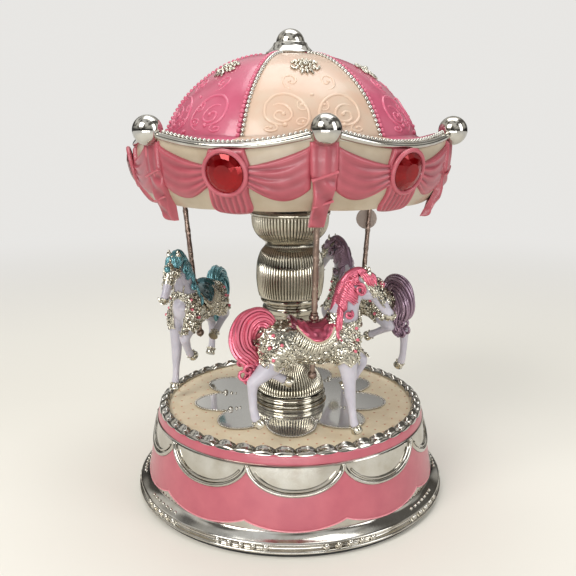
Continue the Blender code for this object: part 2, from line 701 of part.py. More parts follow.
def build_riders(finish):
    master = horse_mesh()
    top = plate_height() - GAP
    bottom = BELLY_Z - POLE_END
    for index, colour in enumerate(("pink_enamel", "violet_enamel", "teal_enamel")):
        head, tail = pole_point(index, top), pole_point(index, bottom)
        pole = rod("pole_%d" % (index + 1), tail, head, POLE_R, finish["chrome"], 10)
        knob = turned_solid("knob", sphere_profile(POLE_KNOB_R, 6), finish["chrome"], 10)
        place(knob, tail)
        fuse(pole, [knob])

        angle = rider_angle(index)
        horse = bpy.data.objects.new("horse_%d" % (index + 1), master.copy())
        horse.data.materials.clear()
        horse.data.materials.append(finish[colour])
        horse.data.polygons.foreach_set("use_smooth", [True] * len(horse.data.polygons))
        bpy.context.collection.objects.link(horse)
        # local x runs forward, and local y to the outside of the ride
        forward = Vector((math.cos(angle), math.sin(angle), 0))
        out = Vector((math.sin(angle), -math.cos(angle), 0))
        frame = Matrix((forward, out, Vector((0, 0, 1)))).transposed().to_4x4()
        horse.data.transform(frame)
        horse.data.flip_normals()
        middle = pole_point(index, (SADDLE_Z + BELLY_Z) / 2)
        place(horse, (middle.x, middle.y, HOOF_Z))
        carve(horse, [rod("bore", pole_point(index, HOOF_Z), head, POLE_R + GAP, finish["chrome"], 10)])


# --- music movement --------------------------------------------------------------------------
def shaft_gear_radius():
    """Pitch radius of the canopy's gear, set by the distance to the barrel."""
    distance = math.hypot(*BARREL_AT)
    return distance * SHAFT_GEAR_TEETH / (SHAFT_GEAR_TEETH + BARREL_TEETH)


def barrel_radius():
    return math.hypot(*BARREL_AT) - shaft_gear_radius()


def crown_radius():
    """Middle of the face teeth under the great wheel's rim."""
    return (CROWN_IN_R + crown_out()) / 2


def crown_out():
    module = 2 * barrel_radius() / BARREL_TEETH
    return barrel_radius() - TOOTH_DEPTH * module


def cylinder_pinion_radius():
    return crown_radius() * CYLINDER_PINION_TEETH / BARREL_TEETH


def cylinder_height():
    """Height of the cylinder's axis, which keeps its wheel just off the bedplate."""
    return bed_top() + gear_tip(CYLINDER_GEAR_TEETH, CYLINDER_GEAR_R) + GEAR_CLEARANCE


def wheel_height():
    """Underside of the great wheel's flange, whose face teeth the cylinder's pinion meets."""
    return cylinder_height() + cylinder_pinion_radius() + CROWN_TOOTH_H / 2


def music_start():
    """Near end of the pinned cylinder, clear of the great wheel's teeth."""
    return BARREL_AT[1] + gear_tip(BARREL_TEETH, barrel_radius()) + 2 * GAP


def bed_top():
    return COVER_Z + COVER_T + GAP + BEDPLATE_T


def build_movement(finish):
    build_bedplate(finish)
    build_barrel(finish)
    build_key(finish)
    build_shaft(finish)
    build_cylinder(finish)
    build_comb(finish)
    build_governor(finish)


def build_bedplate(finish):
    low = bed_top() - BEDPLATE_T
    outline = [(x * MM, y * MM) for x, y in BEDPLATE_CORNERS]
    plate = prism("movement_bedplate", outline, low, bed_top(), finish["brass"])
    boss = rod("boss", (0, 0, bed_top() - 0.5 * BEDPLATE_T), (0, 0, bed_top() + 3.5 * MM), 3.2 * MM,
               finish["brass"], 16)
    fuse(plate, [boss])
    carve(plate, [rod("hole", (0, 0, bed_top() + 0.4 * MM), (0, 0, bed_top() + 9 * MM), SHAFT_R + GAP,
                      finish["brass"], 16),
                  rod("hole", (*BARREL_AT, 0), (*BARREL_AT, 2 * bed_top()), ARBOR_R + GAP,
                      finish["brass"], 16)])


def build_barrel(finish):
    """Spring barrel with the great wheel: spur teeth outside, face teeth under the rim."""
    pitch = barrel_radius()
    toward_shaft = math.atan2(-BARREL_AT[1], -BARREL_AT[0])
    # a gap faces the canopy's gear
    phase = toward_shaft + math.pi / BARREL_TEETH
    outline = gear_outline(BARREL_TEETH, pitch, phase)
    root = min(radius for radius, _ in outline)
    radius_at = {angle: radius for radius, angle in outline}
    low = bed_top() + 2 * GAP
    flange = wheel_height()
    flange_top = flange + WHEEL_T
    roof = flange - 1.2 * MM
    inside = DRUM_BARREL_R - BARREL_WALL
    hole = ARBOR_R + GAP

    def profile(angle):
        is_tip = radius_at[angle] > pitch
        crown = CROWN_TOOTH_H if is_tip else 0.05 * MM
        outer = radius_at[angle] if is_tip else root + 0.05 * MM
        return [(hole, roof), (inside, roof), (inside, low), (DRUM_BARREL_R, low), (DRUM_BARREL_R, flange),
                (CROWN_IN_R, flange), (CROWN_IN_R, flange - crown), (root, flange - crown),
                (root, flange), (outer, flange), (outer, flange_top), (hole, flange_top)]

    barrel = add_object("spring_barrel", ring_body(profile, list(radius_at)), finish["brass"], 20)
    place(barrel, (*BARREL_AT, 0))
    build_mainspring(finish, low + 2 * GAP, roof - GAP, inside)


def build_mainspring(finish, low, high, inside):
    """Spiral strip from the arbor to the barrel's wall."""
    turns, steps, strip = 3.25, 16, 0.35 * MM
    start, end = ARBOR_R + GAP, inside - GAP - strip
    bm = bmesh.new()
    sections = []
    for i in range(int(turns * steps) + 1):
        angle = TAU * i / steps
        radius = start + (end - start) * i / (turns * steps)
        corner = Vector((math.cos(angle), math.sin(angle), 0))
        sections.append([bm.verts.new(corner * r + Vector((0, 0, z)))
                         for r, z in ((radius, low), (radius + strip, low), (radius + strip, high),
                                      (radius, high))])
    for here, after in zip(sections, sections[1:]):
        for i in range(4):
            j = (i + 1) % 4
            bm.faces.new((here[i], here[j], after[j], after[i]))
    bm.faces.new(sections[0])
    bm.faces.new(sections[-1])
    spring = add_object("mainspring", bm, finish["steel"])
    place(spring, (*BARREL_AT, 0))


def build_key(finish):
    """Winding arbor through the cover, and the wing key in the recess under the base."""
    tip = COVER_Z - KEY_GRIP
    arbor = rod("winding_arbor", (0, 0, tip), (0, 0, wheel_height() + WHEEL_T + 0.8 * MM), ARBOR_R,
                finish["steel"], 12)
    place(arbor, (*BARREL_AT, tip))
    low = PAD_H + GAP + 0.4 * MM
    hub_top = COVER_Z - 2 * GAP
    key = turned_solid("winding_key",
                       [(0, low), (KEY_HUB_R - 0.4 * MM, low), (KEY_HUB_R, low + 1.2 * MM),
                        (KEY_HUB_R, hub_top), (0, hub_top)],
                       finish["brass"], 16)
    place(key, (*BARREL_AT, 0))
    half = KEY_SPAN / 2
    wing = box("wing", (-half, -KEY_HALF_T, low), (half, KEY_HALF_T, low + 2 * KEY_END_R), finish["brass"])
    place(wing, (*BARREL_AT, 0))
    middle = low + KEY_END_R
    ends = [rod("end", (side * half, -KEY_HALF_T, middle), (side * half, KEY_HALF_T, middle),
                KEY_END_R, finish["brass"], 16) for side in (-1, 1)]
    for end in ends:
        end.location += Vector((*BARREL_AT, 0))
    fuse(key, [wing, *ends])
    carve(key, [rod("hole", (*BARREL_AT, tip - GAP), (*BARREL_AT, 2 * COVER_Z), ARBOR_R + GAP,
                    finish["brass"], 12)])


def build_shaft(finish):
    low = bed_top() + 0.4 * MM + GAP
    rod("drive_shaft", (0, 0, low), (0, 0, plate_height() + HUB_PLATE_T), SHAFT_R, finish["steel"], 12)
    toward_barrel = math.atan2(BARREL_AT[1], BARREL_AT[0])
    wheel = gear("shaft_gear", SHAFT_GEAR_TEETH, shaft_gear_radius(), WHEEL_T, SHAFT_R + GAP, toward_barrel,
                 finish["brass"])
    place(wheel, (0, 0, wheel_height()))


def build_cylinder(finish):
    """Arbor with its pinion, the pinned cylinder, and the wheel that drives the governor."""
    x, y = BARREL_AT
    height = cylinder_height()
    lie_down = Matrix.Rotation(-math.pi / 2, 4, "X")
    start = y + crown_radius()
    width = (crown_out() - CROWN_IN_R) * 0.8
    music_from = music_start()
    music_to = music_from + CYLINDER_L
    gear_t = CYLINDER_GEAR_T

    # the pinion has a tooth straight up, in a gap of the face teeth
    toward = math.atan2(-y, -x)
    offset = (math.pi / 2 - toward) % (TAU / BARREL_TEETH)
    lag = -offset * BARREL_TEETH / CYLINDER_PINION_TEETH
    reach = crown_addendum() * CYLINDER_PINION_TEETH / (2 * cylinder_pinion_radius())
    pinion = solid_gear("cylinder_pinion", CYLINDER_PINION_TEETH, cylinder_pinion_radius(), width,
                        math.pi / 2 + lag, finish["steel"], reach)
    arbor_from, arbor_to = start - width / 2 - 0.5 * MM, music_to + gear_t + 5.0 * MM
    place(pinion, (x, start + width / 2, height), lie_down @ Matrix.Rotation(math.pi, 4, "X"))
    arbor = rod("arbor", (x, arbor_from, height), (x, arbor_to, height), PIVOT_R, finish["steel"], 10)
    fuse(pinion, [arbor])

    drum = pinned_cylinder("music_cylinder", finish)
    place(drum, (x, music_from, height), lie_down)
    wheel = gear("cylinder_gear", CYLINDER_GEAR_TEETH, CYLINDER_GEAR_R, gear_t, PIVOT_R + GAP,
                 0.0, finish["brass"])
    place(wheel, (x, music_to + GAP, height), lie_down)
    for name, at in (("cylinder_post_inner", music_from - POST_T - 0.5 * MM),
                     ("cylinder_post_outer", arbor_to - POST_T - 0.8 * MM)):
        post = box(name, (x - POST_HALF, at, bed_top() + GAP),
                   (x + POST_HALF, at + POST_T, height + POST_HALF), finish["brass"])
        carve(post, [rod("hole", (x, at - MM, height), (x, at + POST_T + MM, height), PIVOT_R + GAP,
                         finish["brass"], 10)])


def solid_gear(name, teeth, pitch_r, thickness, phase, finish, addendum=TOOTH_HEIGHT):
    outline = gear_outline(teeth, pitch_r, phase, addendum)
    points = [(r * math.cos(a), r * math.sin(a)) for r, a in outline]
    return prism(name, points, 0, thickness, finish)


def pinned_cylinder(name, finish):
    """Brass drum with its tune pins, bored for the arbor."""
    around, along = 16, 9
    bore = PIVOT_R + GAP
    rows = [CYLINDER_L * i / along for i in range(along + 1)]
    loop = [(bore, 0), *[(CYLINDER_R, z) for z in rows], (bore, CYLINDER_L)]
    bm = ring_body(lambda angle: loop, even_angles(around))
    bm.faces.ensure_lookup_table()
    skin = [face for face in bm.faces
            if all(abs(math.hypot(v.co.x, v.co.y) - CYLINDER_R) < MM * 0.01 for v in face.verts)]
    pins = [face for i, face in enumerate(skin) if (i * 7 + i // along * 3) % 13 == 0]
    bmesh.ops.inset_individual(bm, faces=pins, thickness=0.45 * MM)
    made = bmesh.ops.extrude_discrete_faces(bm, faces=pins)
    for face in made["faces"]:
        outward = Vector((face.normal.x, face.normal.y, 0)).normalized() * PIN_H
        centre = face.calc_center_median()
        side = 1 if outward.dot(Vector((centre.x, centre.y, 0))) > 0 else -1
        for vert in face.verts:
            vert.co += outward * side
    return add_object(name, bm, finish["brass"])


def build_comb(finish):
    """Steel comb on its block: eighteen tongues that end just short of the pins."""
    x = BARREL_AT[0]
    first = music_start()
    tip = x - CYLINDER_R - PIN_H - GAP
    heel = tip - COMB_TOOTH_L - 7 * MM
    root = tip - COMB_TOOTH_L
    pitch = CYLINDER_L / COMB_TEETH
    low = cylinder_height() - COMB_T / 2
    outline = [(heel, first)]
    for tooth in range(COMB_TEETH):
        start = first + pitch * tooth
        outline += [(root, start + pitch * 0.18), (tip, start + pitch * 0.25), (tip, start + pitch * 0.75),
                    (root, start + pitch * 0.82)]
    outline.append((heel, first + CYLINDER_L))
    comb = prism("steel_comb", outline, low, low + COMB_T, finish["steel"])
    block_top = low - GAP
    block = box("comb_block", (heel, first, bed_top() + GAP), (root - MM, first + CYLINDER_L, block_top),
                finish["brass"])
    spots = [((heel + root) / 2 - 0.5 * MM, first + CYLINDER_L * share) for share in (0.22, 0.78)]
    bite = 3.0 * MM
    carve(comb, [rod("hole", (*spot, low - MM), (*spot, low + 3 * MM), SCREW_R + GAP, finish["steel"], 8)
                 for spot in spots])
    carve(block, [rod("hole", (*spot, block_top - bite - GAP), (*spot, block_top + MM), SCREW_R + GAP,
                      finish["brass"], 8) for spot in spots])
    seat = low + COMB_T + GAP
    for index, spot in enumerate(spots):
        screw = turned_solid("comb_screw_%d" % (index + 1),
                             [(0, block_top - bite), (SCREW_R, block_top - bite), (SCREW_R, seat),
                              (SCREW_HEAD_R, seat), (SCREW_HEAD_R, seat + SCREW_HEAD_H * 0.7),
                              (0, seat + SCREW_HEAD_H)], finish["steel"], 10)
        place(screw, (*spot, 0))


def build_governor(finish):
    """Air brake: a pinion and worm wheel on one arbor, and a worm that carries the fan."""
    x = BARREL_AT[0]
    height = cylinder_height()
    music_to = music_start() + CYLINDER_L
    pinion_r = CYLINDER_GEAR_R * GOVERNOR_PINION_TEETH / CYLINDER_GEAR_TEETH
    axis_x = x + CYLINDER_GEAR_R + pinion_r
    lie_down = Matrix.Rotation(-math.pi / 2, 4, "X")
    wheel_y = music_to + WORM_WHEEL_AT
    wheel_t = WORM_WHEEL_T
    ends = (music_to - 2.4 * MM, wheel_y + wheel_t + 2.6 * MM)

    # the cylinder's wheel has a tooth at 0 degrees, so the pinion has a gap facing back
    pinion = solid_gear("governor_wheel", GOVERNOR_PINION_TEETH, pinion_r, 1.9 * MM,
                        math.pi + math.pi / GOVERNOR_PINION_TEETH, finish["steel"])
    place(pinion, (axis_x, music_to + 0.1 * MM, height), lie_down)
    worm_wheel = solid_gear("disc", WORM_WHEEL_TEETH, WORM_WHEEL_R, wheel_t, 0.0, finish["steel"])
    place(worm_wheel, (axis_x, wheel_y, height), lie_down)
    arbor = rod("arbor", (axis_x, ends[0], height), (axis_x, ends[1], height), PIVOT_R, finish["steel"], 8)
    fuse(pinion, [arbor, worm_wheel])

    worm_x = axis_x + WORM_WHEEL_R + WORM_R
    worm_y = wheel_y + wheel_t / 2
    floor = bed_top() + GAP
    top = wheel_height() + WHEEL_T
    build_worm(finish, (worm_x, worm_y, height), floor + FRAME_BASE_T + GAP - height, top - height)
    build_fan(finish, (worm_x, worm_y, top - 2.4 * MM))
    near = x + CYLINDER_R + PIN_H + 2 * GAP
    build_frame(finish, near, axis_x, worm_x, worm_y, height, floor, top, ends)


def build_worm(finish, centre, low, high):
    """Single-start right-hand worm with a thread gap level with the wheel's axis."""
    lead = TAU * WORM_WHEEL_R / WORM_WHEEL_TEETH
    turns, steps = 3, 12
    root, tip = WORM_R - 0.5 * MM, WORM_R + 0.3 * MM
    half_root, half_tip = 0.26 * MM, 0.14 * MM
    bm = bmesh.new()
    sections = []
    for i in range(turns * steps + 1):
        angle = TAU * i / steps
        # the thread crosses the side that faces the wheel half a lead off the axis
        z = lead * (i / steps - turns / 2)
        ray = Vector((math.cos(angle), math.sin(angle), 0))
        sections.append([bm.verts.new(ray * r + Vector((0, 0, z + dz)))
                         for r, dz in ((root * 0.7, -half_root), (tip, -half_tip), (tip, half_tip),
                                       (root * 0.7, half_root))])
    for here, after in zip(sections, sections[1:]):
        for i in range(4):
            j = (i + 1) % 4
            bm.faces.new((here[i], here[j], after[j], after[i]))
    bm.faces.new(sections[0])
    bm.faces.new(sections[-1])
    worm = add_object("governor_worm", bm, finish["steel"])
    turn = Matrix.Rotation(math.pi if turns % 2 else 0.0, 4, "Z")
    place(worm, centre, turn)
    core = turned_solid("core",
                        [(0, low), (PIVOT_R, low), (PIVOT_R, -lead * 2.2), (root, -lead * 2.0),
                         (root, lead * 2.0), (PIVOT_R, lead * 2.2), (PIVOT_R, high), (0, high)],
                        finish["steel"], 12)
    place(core, centre)
    fuse(worm, [core])


def build_fan(finish, centre):
    """Two-bladed paddle on the worm's shaft."""
    hub_r = PIVOT_R + GAP + 0.8 * MM
    hub = turned_ring("governor_fan", [(PIVOT_R + GAP, -FAN_HALF_H), (hub_r, -FAN_HALF_H),
                                       (hub_r, FAN_HALF_H), (PIVOT_R + GAP, FAN_HALF_H)],
                      finish["brass"], 12)
    place(hub, centre)
    x, y, z = centre
    root = PIVOT_R + 2 * GAP
    half = FAN_BLADE_T / 2
    blades = [box("blade", (x + near, y - half, z - FAN_HALF_H), (x + far, y + half, z + FAN_HALF_H),
                  finish["brass"]) for near, far in ((root, FAN_REACH), (-FAN_REACH, -root))]
    fuse(hub, blades)


def build_frame(finish, near, axis_x, worm_x, worm_y, height, floor, top, ends):
    """Bracket with the bearings of the governor's arbor and worm."""
    slab_top = floor + FRAME_BASE_T
    bearing = BEARING_T
    right = worm_x + FAN_REACH + bearing + 2 * GAP
    frame = box("governor_frame", (near, ends[0] + 0.2 * MM, floor),
                (right, ends[1] - 0.1 * MM, slab_top), finish["brass"])
    posts = [box("post", (near, y, slab_top - 0.4 * MM),
                 (axis_x + 1.4 * MM, y + bearing, height + 1.7 * MM), finish["brass"])
             for y in (ends[0] + 0.2 * MM, ends[1] - 0.1 * MM - bearing)]
    mast = box("mast", (right - bearing, worm_y - 1.4 * MM, slab_top - 0.4 * MM),
               (right, worm_y + 1.4 * MM, top - 3.6 * MM), finish["brass"])
    arm = box("arm", (worm_x - 1.6 * MM, worm_y - 1.4 * MM, top - 4.4 * MM),
              (right - bearing / 2, worm_y + 1.4 * MM, top - 3.6 * MM), finish["brass"])
    fuse(frame, [*posts, mast, arm])
    carve(frame, [rod("hole", (axis_x, ends[0] - MM, height), (axis_x, ends[1] + MM, height), PIVOT_R + GAP,
                      finish["brass"], 8),
                  rod("hole", (worm_x, worm_y, top - 9 * MM), (worm_x, worm_y, top), PIVOT_R + GAP,
                      finish["brass"], 10)])


def finishes():
    return {
        "chrome": material("chrome", (0.78, 0.77, 0.75), 0.12, 1.0),
        "mirror": material("mirror", (0.90, 0.90, 0.90), 0.05, 1.0),
        "steel": material("steel", (0.55, 0.56, 0.58), 0.35, 1.0),
        "brass": material("brass", (0.78, 0.60, 0.30), 0.35, 1.0),
        "pink": material("pink_enamel_base", (0.62, 0.16, 0.20), 0.25, 0.0),
        "cream": material("cream_enamel", (0.80, 0.66, 0.50), 0.35, 0.0),
        "felt": material("felt", (0.05, 0.05, 0.05), 0.9, 0.0),
        "ruby": material("ruby_glass", (0.45, 0.01, 0.02), 0.08, 0.0),
        "pink_enamel": material("horse_pink", (0.75, 0.32, 0.42), 0.3, 0.2),
        "violet_enamel": material("horse_violet", (0.30, 0.20, 0.28), 0.3, 0.2),
        "teal_enamel": material("horse_teal", (0.18, 0.40, 0.46), 0.3, 0.2),
    }


def main():
    clear_scene()
    finish = finishes()
    build_base(finish)
    column_top = build_column(finish)
    build_canopy(finish, column_top)
    build_riders(finish)
    build_movement(finish)


main()
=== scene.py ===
"""Looks of the carousel music box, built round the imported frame.

Shapes are worked out in millimetres, with angles in degrees counted from the front
and positive to the right, and are scaled to metres when a mesh is made.
"""

import math
import random

import bmesh
import bpy
import numpy as np
from mathutils import Matrix, Vector, noise
from mathutils.bvhtree import BVHTree


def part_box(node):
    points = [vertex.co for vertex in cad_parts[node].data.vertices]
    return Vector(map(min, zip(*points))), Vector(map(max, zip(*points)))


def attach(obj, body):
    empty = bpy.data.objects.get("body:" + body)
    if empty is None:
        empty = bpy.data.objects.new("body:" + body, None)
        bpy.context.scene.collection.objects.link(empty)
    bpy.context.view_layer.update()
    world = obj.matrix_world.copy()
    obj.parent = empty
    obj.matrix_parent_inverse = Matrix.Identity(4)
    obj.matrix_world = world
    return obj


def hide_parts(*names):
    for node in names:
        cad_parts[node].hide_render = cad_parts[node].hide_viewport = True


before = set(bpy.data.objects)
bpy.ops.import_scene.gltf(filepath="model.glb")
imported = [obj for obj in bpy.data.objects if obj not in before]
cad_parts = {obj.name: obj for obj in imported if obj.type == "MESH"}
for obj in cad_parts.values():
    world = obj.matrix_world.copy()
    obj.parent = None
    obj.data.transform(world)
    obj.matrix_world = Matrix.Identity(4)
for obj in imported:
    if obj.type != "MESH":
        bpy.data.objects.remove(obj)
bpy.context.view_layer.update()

MM = 0.001
TAU = 2 * math.pi


def cad(node, axis, end):
    """One side of a CAD node's box, in millimetres: end 0 is the low side, 1 the high."""
    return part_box(node)[end][axis] / MM


# --- sizes read from the frame ---------------------------------------------------------
FOOT_R = cad("foot_ring", 0, 1)
FOOT_LOW = cad("foot_ring", 2, 0)
DRUM_LOW = cad("base_drum", 2, 0)
DRUM_TOP = cad("base_drum", 2, 1)
DRUM_FOOT_R = cad("base_drum", 0, 1)
FLOOR_Z = cad("floor_deck", 2, 1)
DECK_R = cad("floor_deck", 0, 1)
DRUM_TOP_R = DECK_R + 2.2
RIM_TOP = cad("canopy_rim", 2, 1) - 1.2
BALL_R = (cad("corner_ball_1", 2, 1) - cad("corner_ball_1", 2, 0)) / 2
BALL_Z = (cad("corner_ball_1", 2, 1) + cad("corner_ball_1", 2, 0)) / 2
FINIAL_R = (cad("finial_ball", 2, 1) - cad("finial_ball", 2, 0)) / 2
FINIAL_Z = cad("finial_ball", 2, 1) - FINIAL_R

CORNERS = 6
CORNER_STEP = 360 / CORNERS
CORNER_TURN = 10.0
CORNER_R = 60.0
RIM_MID_R = 57.0
RIM_SAG = 4.6
SWAGS = 10
SWAG_STEP = 360 / SWAGS
SWAG_TURN = 20.0
PETALS = 9
RIDER_TURN = 11.0
POLE_TOP_OUT = 46.0
POLE_LEAN = 0.10


# --- mesh helpers -----------------------------------------------------------------------
def polar(radius, degrees, height):
    angle = math.radians(degrees)
    return (radius * math.sin(angle), -radius * math.cos(angle), height)


def corner_angle(number):
    """Angle of a corner ball; half numbers are the stones and seams between them."""
    return CORNER_TURN + CORNER_STEP * number


def swag_angle(number):
    """Angle of the joint between two festoons."""
    return SWAG_TURN + SWAG_STEP * number


def taper(thick, loss, count):
    """Radii for a tube that thins evenly from its first point to its last."""
    return [thick * (1 - loss * i / count) for i in range(count)]


def circle(centre, u, v, radius, count):
    """Points round a centre, in the plane of two unit vectors."""
    turns = (TAU * i / count for i in range(count))
    return [centre + (u * math.cos(a) + v * math.sin(a)) * radius for a in turns]


def icosphere(level):
    """Unit ball as (points, triangles), for the many small beads."""
    t = (1 + math.sqrt(5)) / 2
    points = [(-1, t, 0), (1, t, 0), (-1, -t, 0), (1, -t, 0), (0, -1, t), (0, 1, t),
              (0, -1, -t), (0, 1, -t), (t, 0, -1), (t, 0, 1), (-t, 0, -1), (-t, 0, 1)]
    points = [Vector(p).normalized() for p in points]
    faces = [(0, 11, 5), (0, 5, 1), (0, 1, 7), (0, 7, 10), (0, 10, 11), (1, 5, 9), (5, 11, 4),
             (11, 10, 2), (10, 7, 6), (7, 1, 8), (3, 9, 4), (3, 4, 2), (3, 2, 6), (3, 6, 8),
             (3, 8, 9), (4, 9, 5), (2, 4, 11), (6, 2, 10), (8, 6, 7), (9, 8, 1)]
    for _ in range(level):
        middle = {}
        finer = []
        for a, b, c in faces:
            mids = []
            for i, j in ((a, b), (b, c), (c, a)):
                key = (min(i, j), max(i, j))
                if key not in middle:
                    middle[key] = len(points)
                    points.append(((points[i] + points[j]) / 2).normalized())
                mids.append(middle[key])
            ab, bc, ca = mids
            finer += [(a, ab, ca), (b, bc, ab), (c, ca, bc), (ab, bc, ca)]
        faces = finer
    return np.array([tuple(p) for p in points]), faces


BALLS = {level: icosphere(level) for level in (1, 2, 3)}


class Shape:
    """Collects points and faces, in millimetres, and makes one piece of them."""

    def __init__(self):
        self.points = []
        self.faces = []
        self.finish = []
        self.count = 0

    def add(self, points, faces):
        points = np.asarray(points, float).reshape(-1, 3)
        base = self.count
        self.points.append(points)
        self.faces += [tuple(i + base for i in face) for face in faces]
        self.finish += [0] * len(faces)
        self.count += len(points)

    def ball(self, centre, radius, level=1, stretch=(1, 1, 1)):
        points, faces = BALLS[level]
        self.add(points * radius * np.array(stretch) + np.array(centre), faces)

    def grid(self, rows, wrap_rows=False, wrap_columns=False, finish=None, caps=False):
        """Quads over a list of rows of points; finish(row) picks a quad's material."""
        high, wide = len(rows), len(rows[0])
        faces, marks = [], []
        for i in range(high if wrap_rows else high - 1):
            for j in range(wide if wrap_columns else wide - 1):
                a, b = i, (i + 1) % high
                c, d = j, (j + 1) % wide
                faces.append((a * wide + c, a * wide + d, b * wide + d, b * wide + c))
                marks.append(finish(i) if finish else 0)
        if caps:
            faces.append(tuple(range(wide)))
            faces.append(tuple((high - 1) * wide + j for j in range(wide))[::-1])
            marks += [marks[0], marks[-1]]
        before = len(self.finish)
        self.add([p for row in rows for p in row], faces)
        self.finish[before:] = marks

    def tube(self, path, radius, sides=8, closed=False, flat=1.0):
        """Sweep a circle along a path; radius is a number or one number per point."""
        path = [Vector(p) for p in path]
        count = len(path)
        radii = [radius] * count if isinstance(radius, (int, float)) else radius
        tangents = []
        for i in range(count):
            ahead = path[(i + 1) % count] if closed or i < count - 1 else path[i]
            back = path[i - 1] if closed or i else path[i]
            tangents.append((ahead - back).normalized())
        side = tangents[0].orthogonal().normalized()
        sides_at = [side]
        for before, after in zip(tangents, tangents[1:]):
            side = before.rotation_difference(after) @ side
            side = (side - after * side.dot(after)).normalized()
            sides_at.append(side)
        slip = 0.0
        if closed:
            last = tangents[-1].rotation_difference(tangents[0]) @ sides_at[-1]
            other = tangents[0].cross(sides_at[0])
            slip = math.atan2(last.dot(other), last.dot(sides_at[0]))
        rows = []
        for i in range(count):
            twist = -slip * i / count
            u, v = sides_at[i], tangents[i].cross(sides_at[i])
            rows.append([path[i] + (u * math.cos(a + twist) + v * math.sin(a + twist) * flat) * radii[i]
                         for a in (TAU * k / sides for k in range(sides))])
        self.grid(rows, wrap_rows=closed, wrap_columns=True, caps=not closed)

    def lathe(self, profile, segments, radius_at=None):
        """Turn a (radius, height) loop; radius_at(index, degrees, radius) may flute it."""
        rows = []
        for k in range(segments):
            degrees = 360 * k / segments
            row = []
            for index, (r, z) in enumerate(profile):
                r = radius_at(index, degrees, r) if radius_at else r
                row.append(polar(r, degrees, z))
            rows.append(row)
        self.grid(rows, wrap_rows=True, wrap_columns=True)

    def slab(self, surface, across, along, height, sink=0.5, edge=0.18, wrap=False, relief=None):
        """Raised panel on surface(u, v, lift): its lift rounds off towards its edges."""
        def rise(x):
            x = min(x, 1 - x) / edge
            return 1.0 if x >= 1 else math.sqrt(max(0.0, 1 - (1 - x) ** 2))
        top, bottom = [], []
        us = [k / across for k in range(across + (0 if wrap else 1))]
        vs = [0.5 - 0.5 * math.cos(math.pi * k / along) for k in range(along + 1)]
        for u in us:
            lifts = [height * (rise(v) * (1 if wrap else rise(u))) for v in vs]
            if relief:
                lifts = [h + relief(u, v) * (h / height) for h, v in zip(lifts, vs)]
            top.append([surface(u, v, h) for h, v in zip(lifts, vs)])
            bottom.append([surface(u, v, -sink) for v in vs])
        rows = [list(t) + list(b)[::-1] for t, b in zip(top, bottom)]
        self.grid(rows, wrap_rows=wrap, wrap_columns=True)
        if not wrap:
            wide = len(vs)
            for row in (rows[0], rows[-1]):
                faces = [(j, j + 1, 2 * wide - 2 - j, 2 * wide - 1 - j) for j in range(wide - 1)]
                self.add(row, faces)

    def mesh(self, name):
        points = np.vstack(self.points) * MM
        mesh = bpy.data.meshes.new(name)
        mesh.from_pydata(points.tolist(), [], self.faces)
        mesh.polygons.foreach_set("material_index", self.finish)
        mesh.update()
        return mesh

    def piece(self, name, materials, body, replaces=(), slot=None, sharp=40, weld=1e-6):
        mesh = self.mesh(name)
        bm = bmesh.new()
        bm.from_mesh(mesh)
        bmesh.ops.remove_doubles(bm, verts=bm.verts, dist=weld)
        bmesh.ops.recalc_face_normals(bm, faces=bm.faces)
        bm.to_mesh(mesh)
        bm.free()
        return add_piece(name, mesh, materials, body, replaces, sharp)


def add_piece(name, mesh, materials, body, replaces=(), sharp=40):
    for made in materials:
        mesh.materials.append(made)
    mesh.polygons.foreach_set("use_smooth", [True] * len(mesh.polygons))
    mesh.set_sharp_from_angle(angle=math.radians(sharp))
    made = bpy.data.objects.new(name, mesh)
    bpy.context.collection.objects.link(made)
    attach(made, body)
    if replaces:
        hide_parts(*replaces)
    return made


def smooth_line(points, per=8):
    """Catmull-Rom curve through given points."""
    points = [Vector(p) for p in points]
    count = len(points)
    made = []
    for i in range(count - 1):
        near = [min(max(i + k, 0), count - 1) for k in (-1, 0, 1, 2)]
        p = [points[n] for n in near]
        for k in range(per):
            t = k / per
            made.append(0.5 * ((2 * p[1]) + (p[2] - p[0]) * t
                               + (2 * p[0] - 5 * p[1] + 4 * p[2] - p[3]) * t * t
                               + (3 * p[1] - p[0] - 3 * p[2] + p[3]) * t ** 3))
    made.append(points[-1])
    return made


def smooth_profile(points, per=5):
    """The same curve through (radius, height) points."""
    return [(p.x, p.z) for p in smooth_line([(r, 0, z) for r, z in points], per)]


def lerp_profile(profile, height):
    """Radius at a height on a profile listed from low to high."""
    if height <= profile[0][1]:
        return profile[0][0]
    for (r0, z0), (r1, z1) in zip(profile, profile[1:]):
        if height <= z1:
            return r0 + (r1 - r0) * (height - z0) / (z1 - z0)
    return profile[-1][0]


def spaced(path, pitch):
    """Points at an even pitch along a polyline."""
    path = [Vector(p) for p in path]
    made, carry = [path[0]], 0.0
    for a, b in zip(path, path[1:]):
        length = (b - a).length
        at = pitch - carry
        while at < length:
            made.append(a.lerp(b, at / length))
            at += pitch
        carry = (carry + length) % pitch if length else carry
    return made


# --- materials ---------------------------------------------------------------------------
def linear(red, green, blue):
    """8-bit screen colour to a scene-linear one."""
    return tuple((c / 255 / 12.92) if c <= 10 else ((c / 255 + 0.055) / 1.055) ** 2.4
                 for c in (red, green, blue))


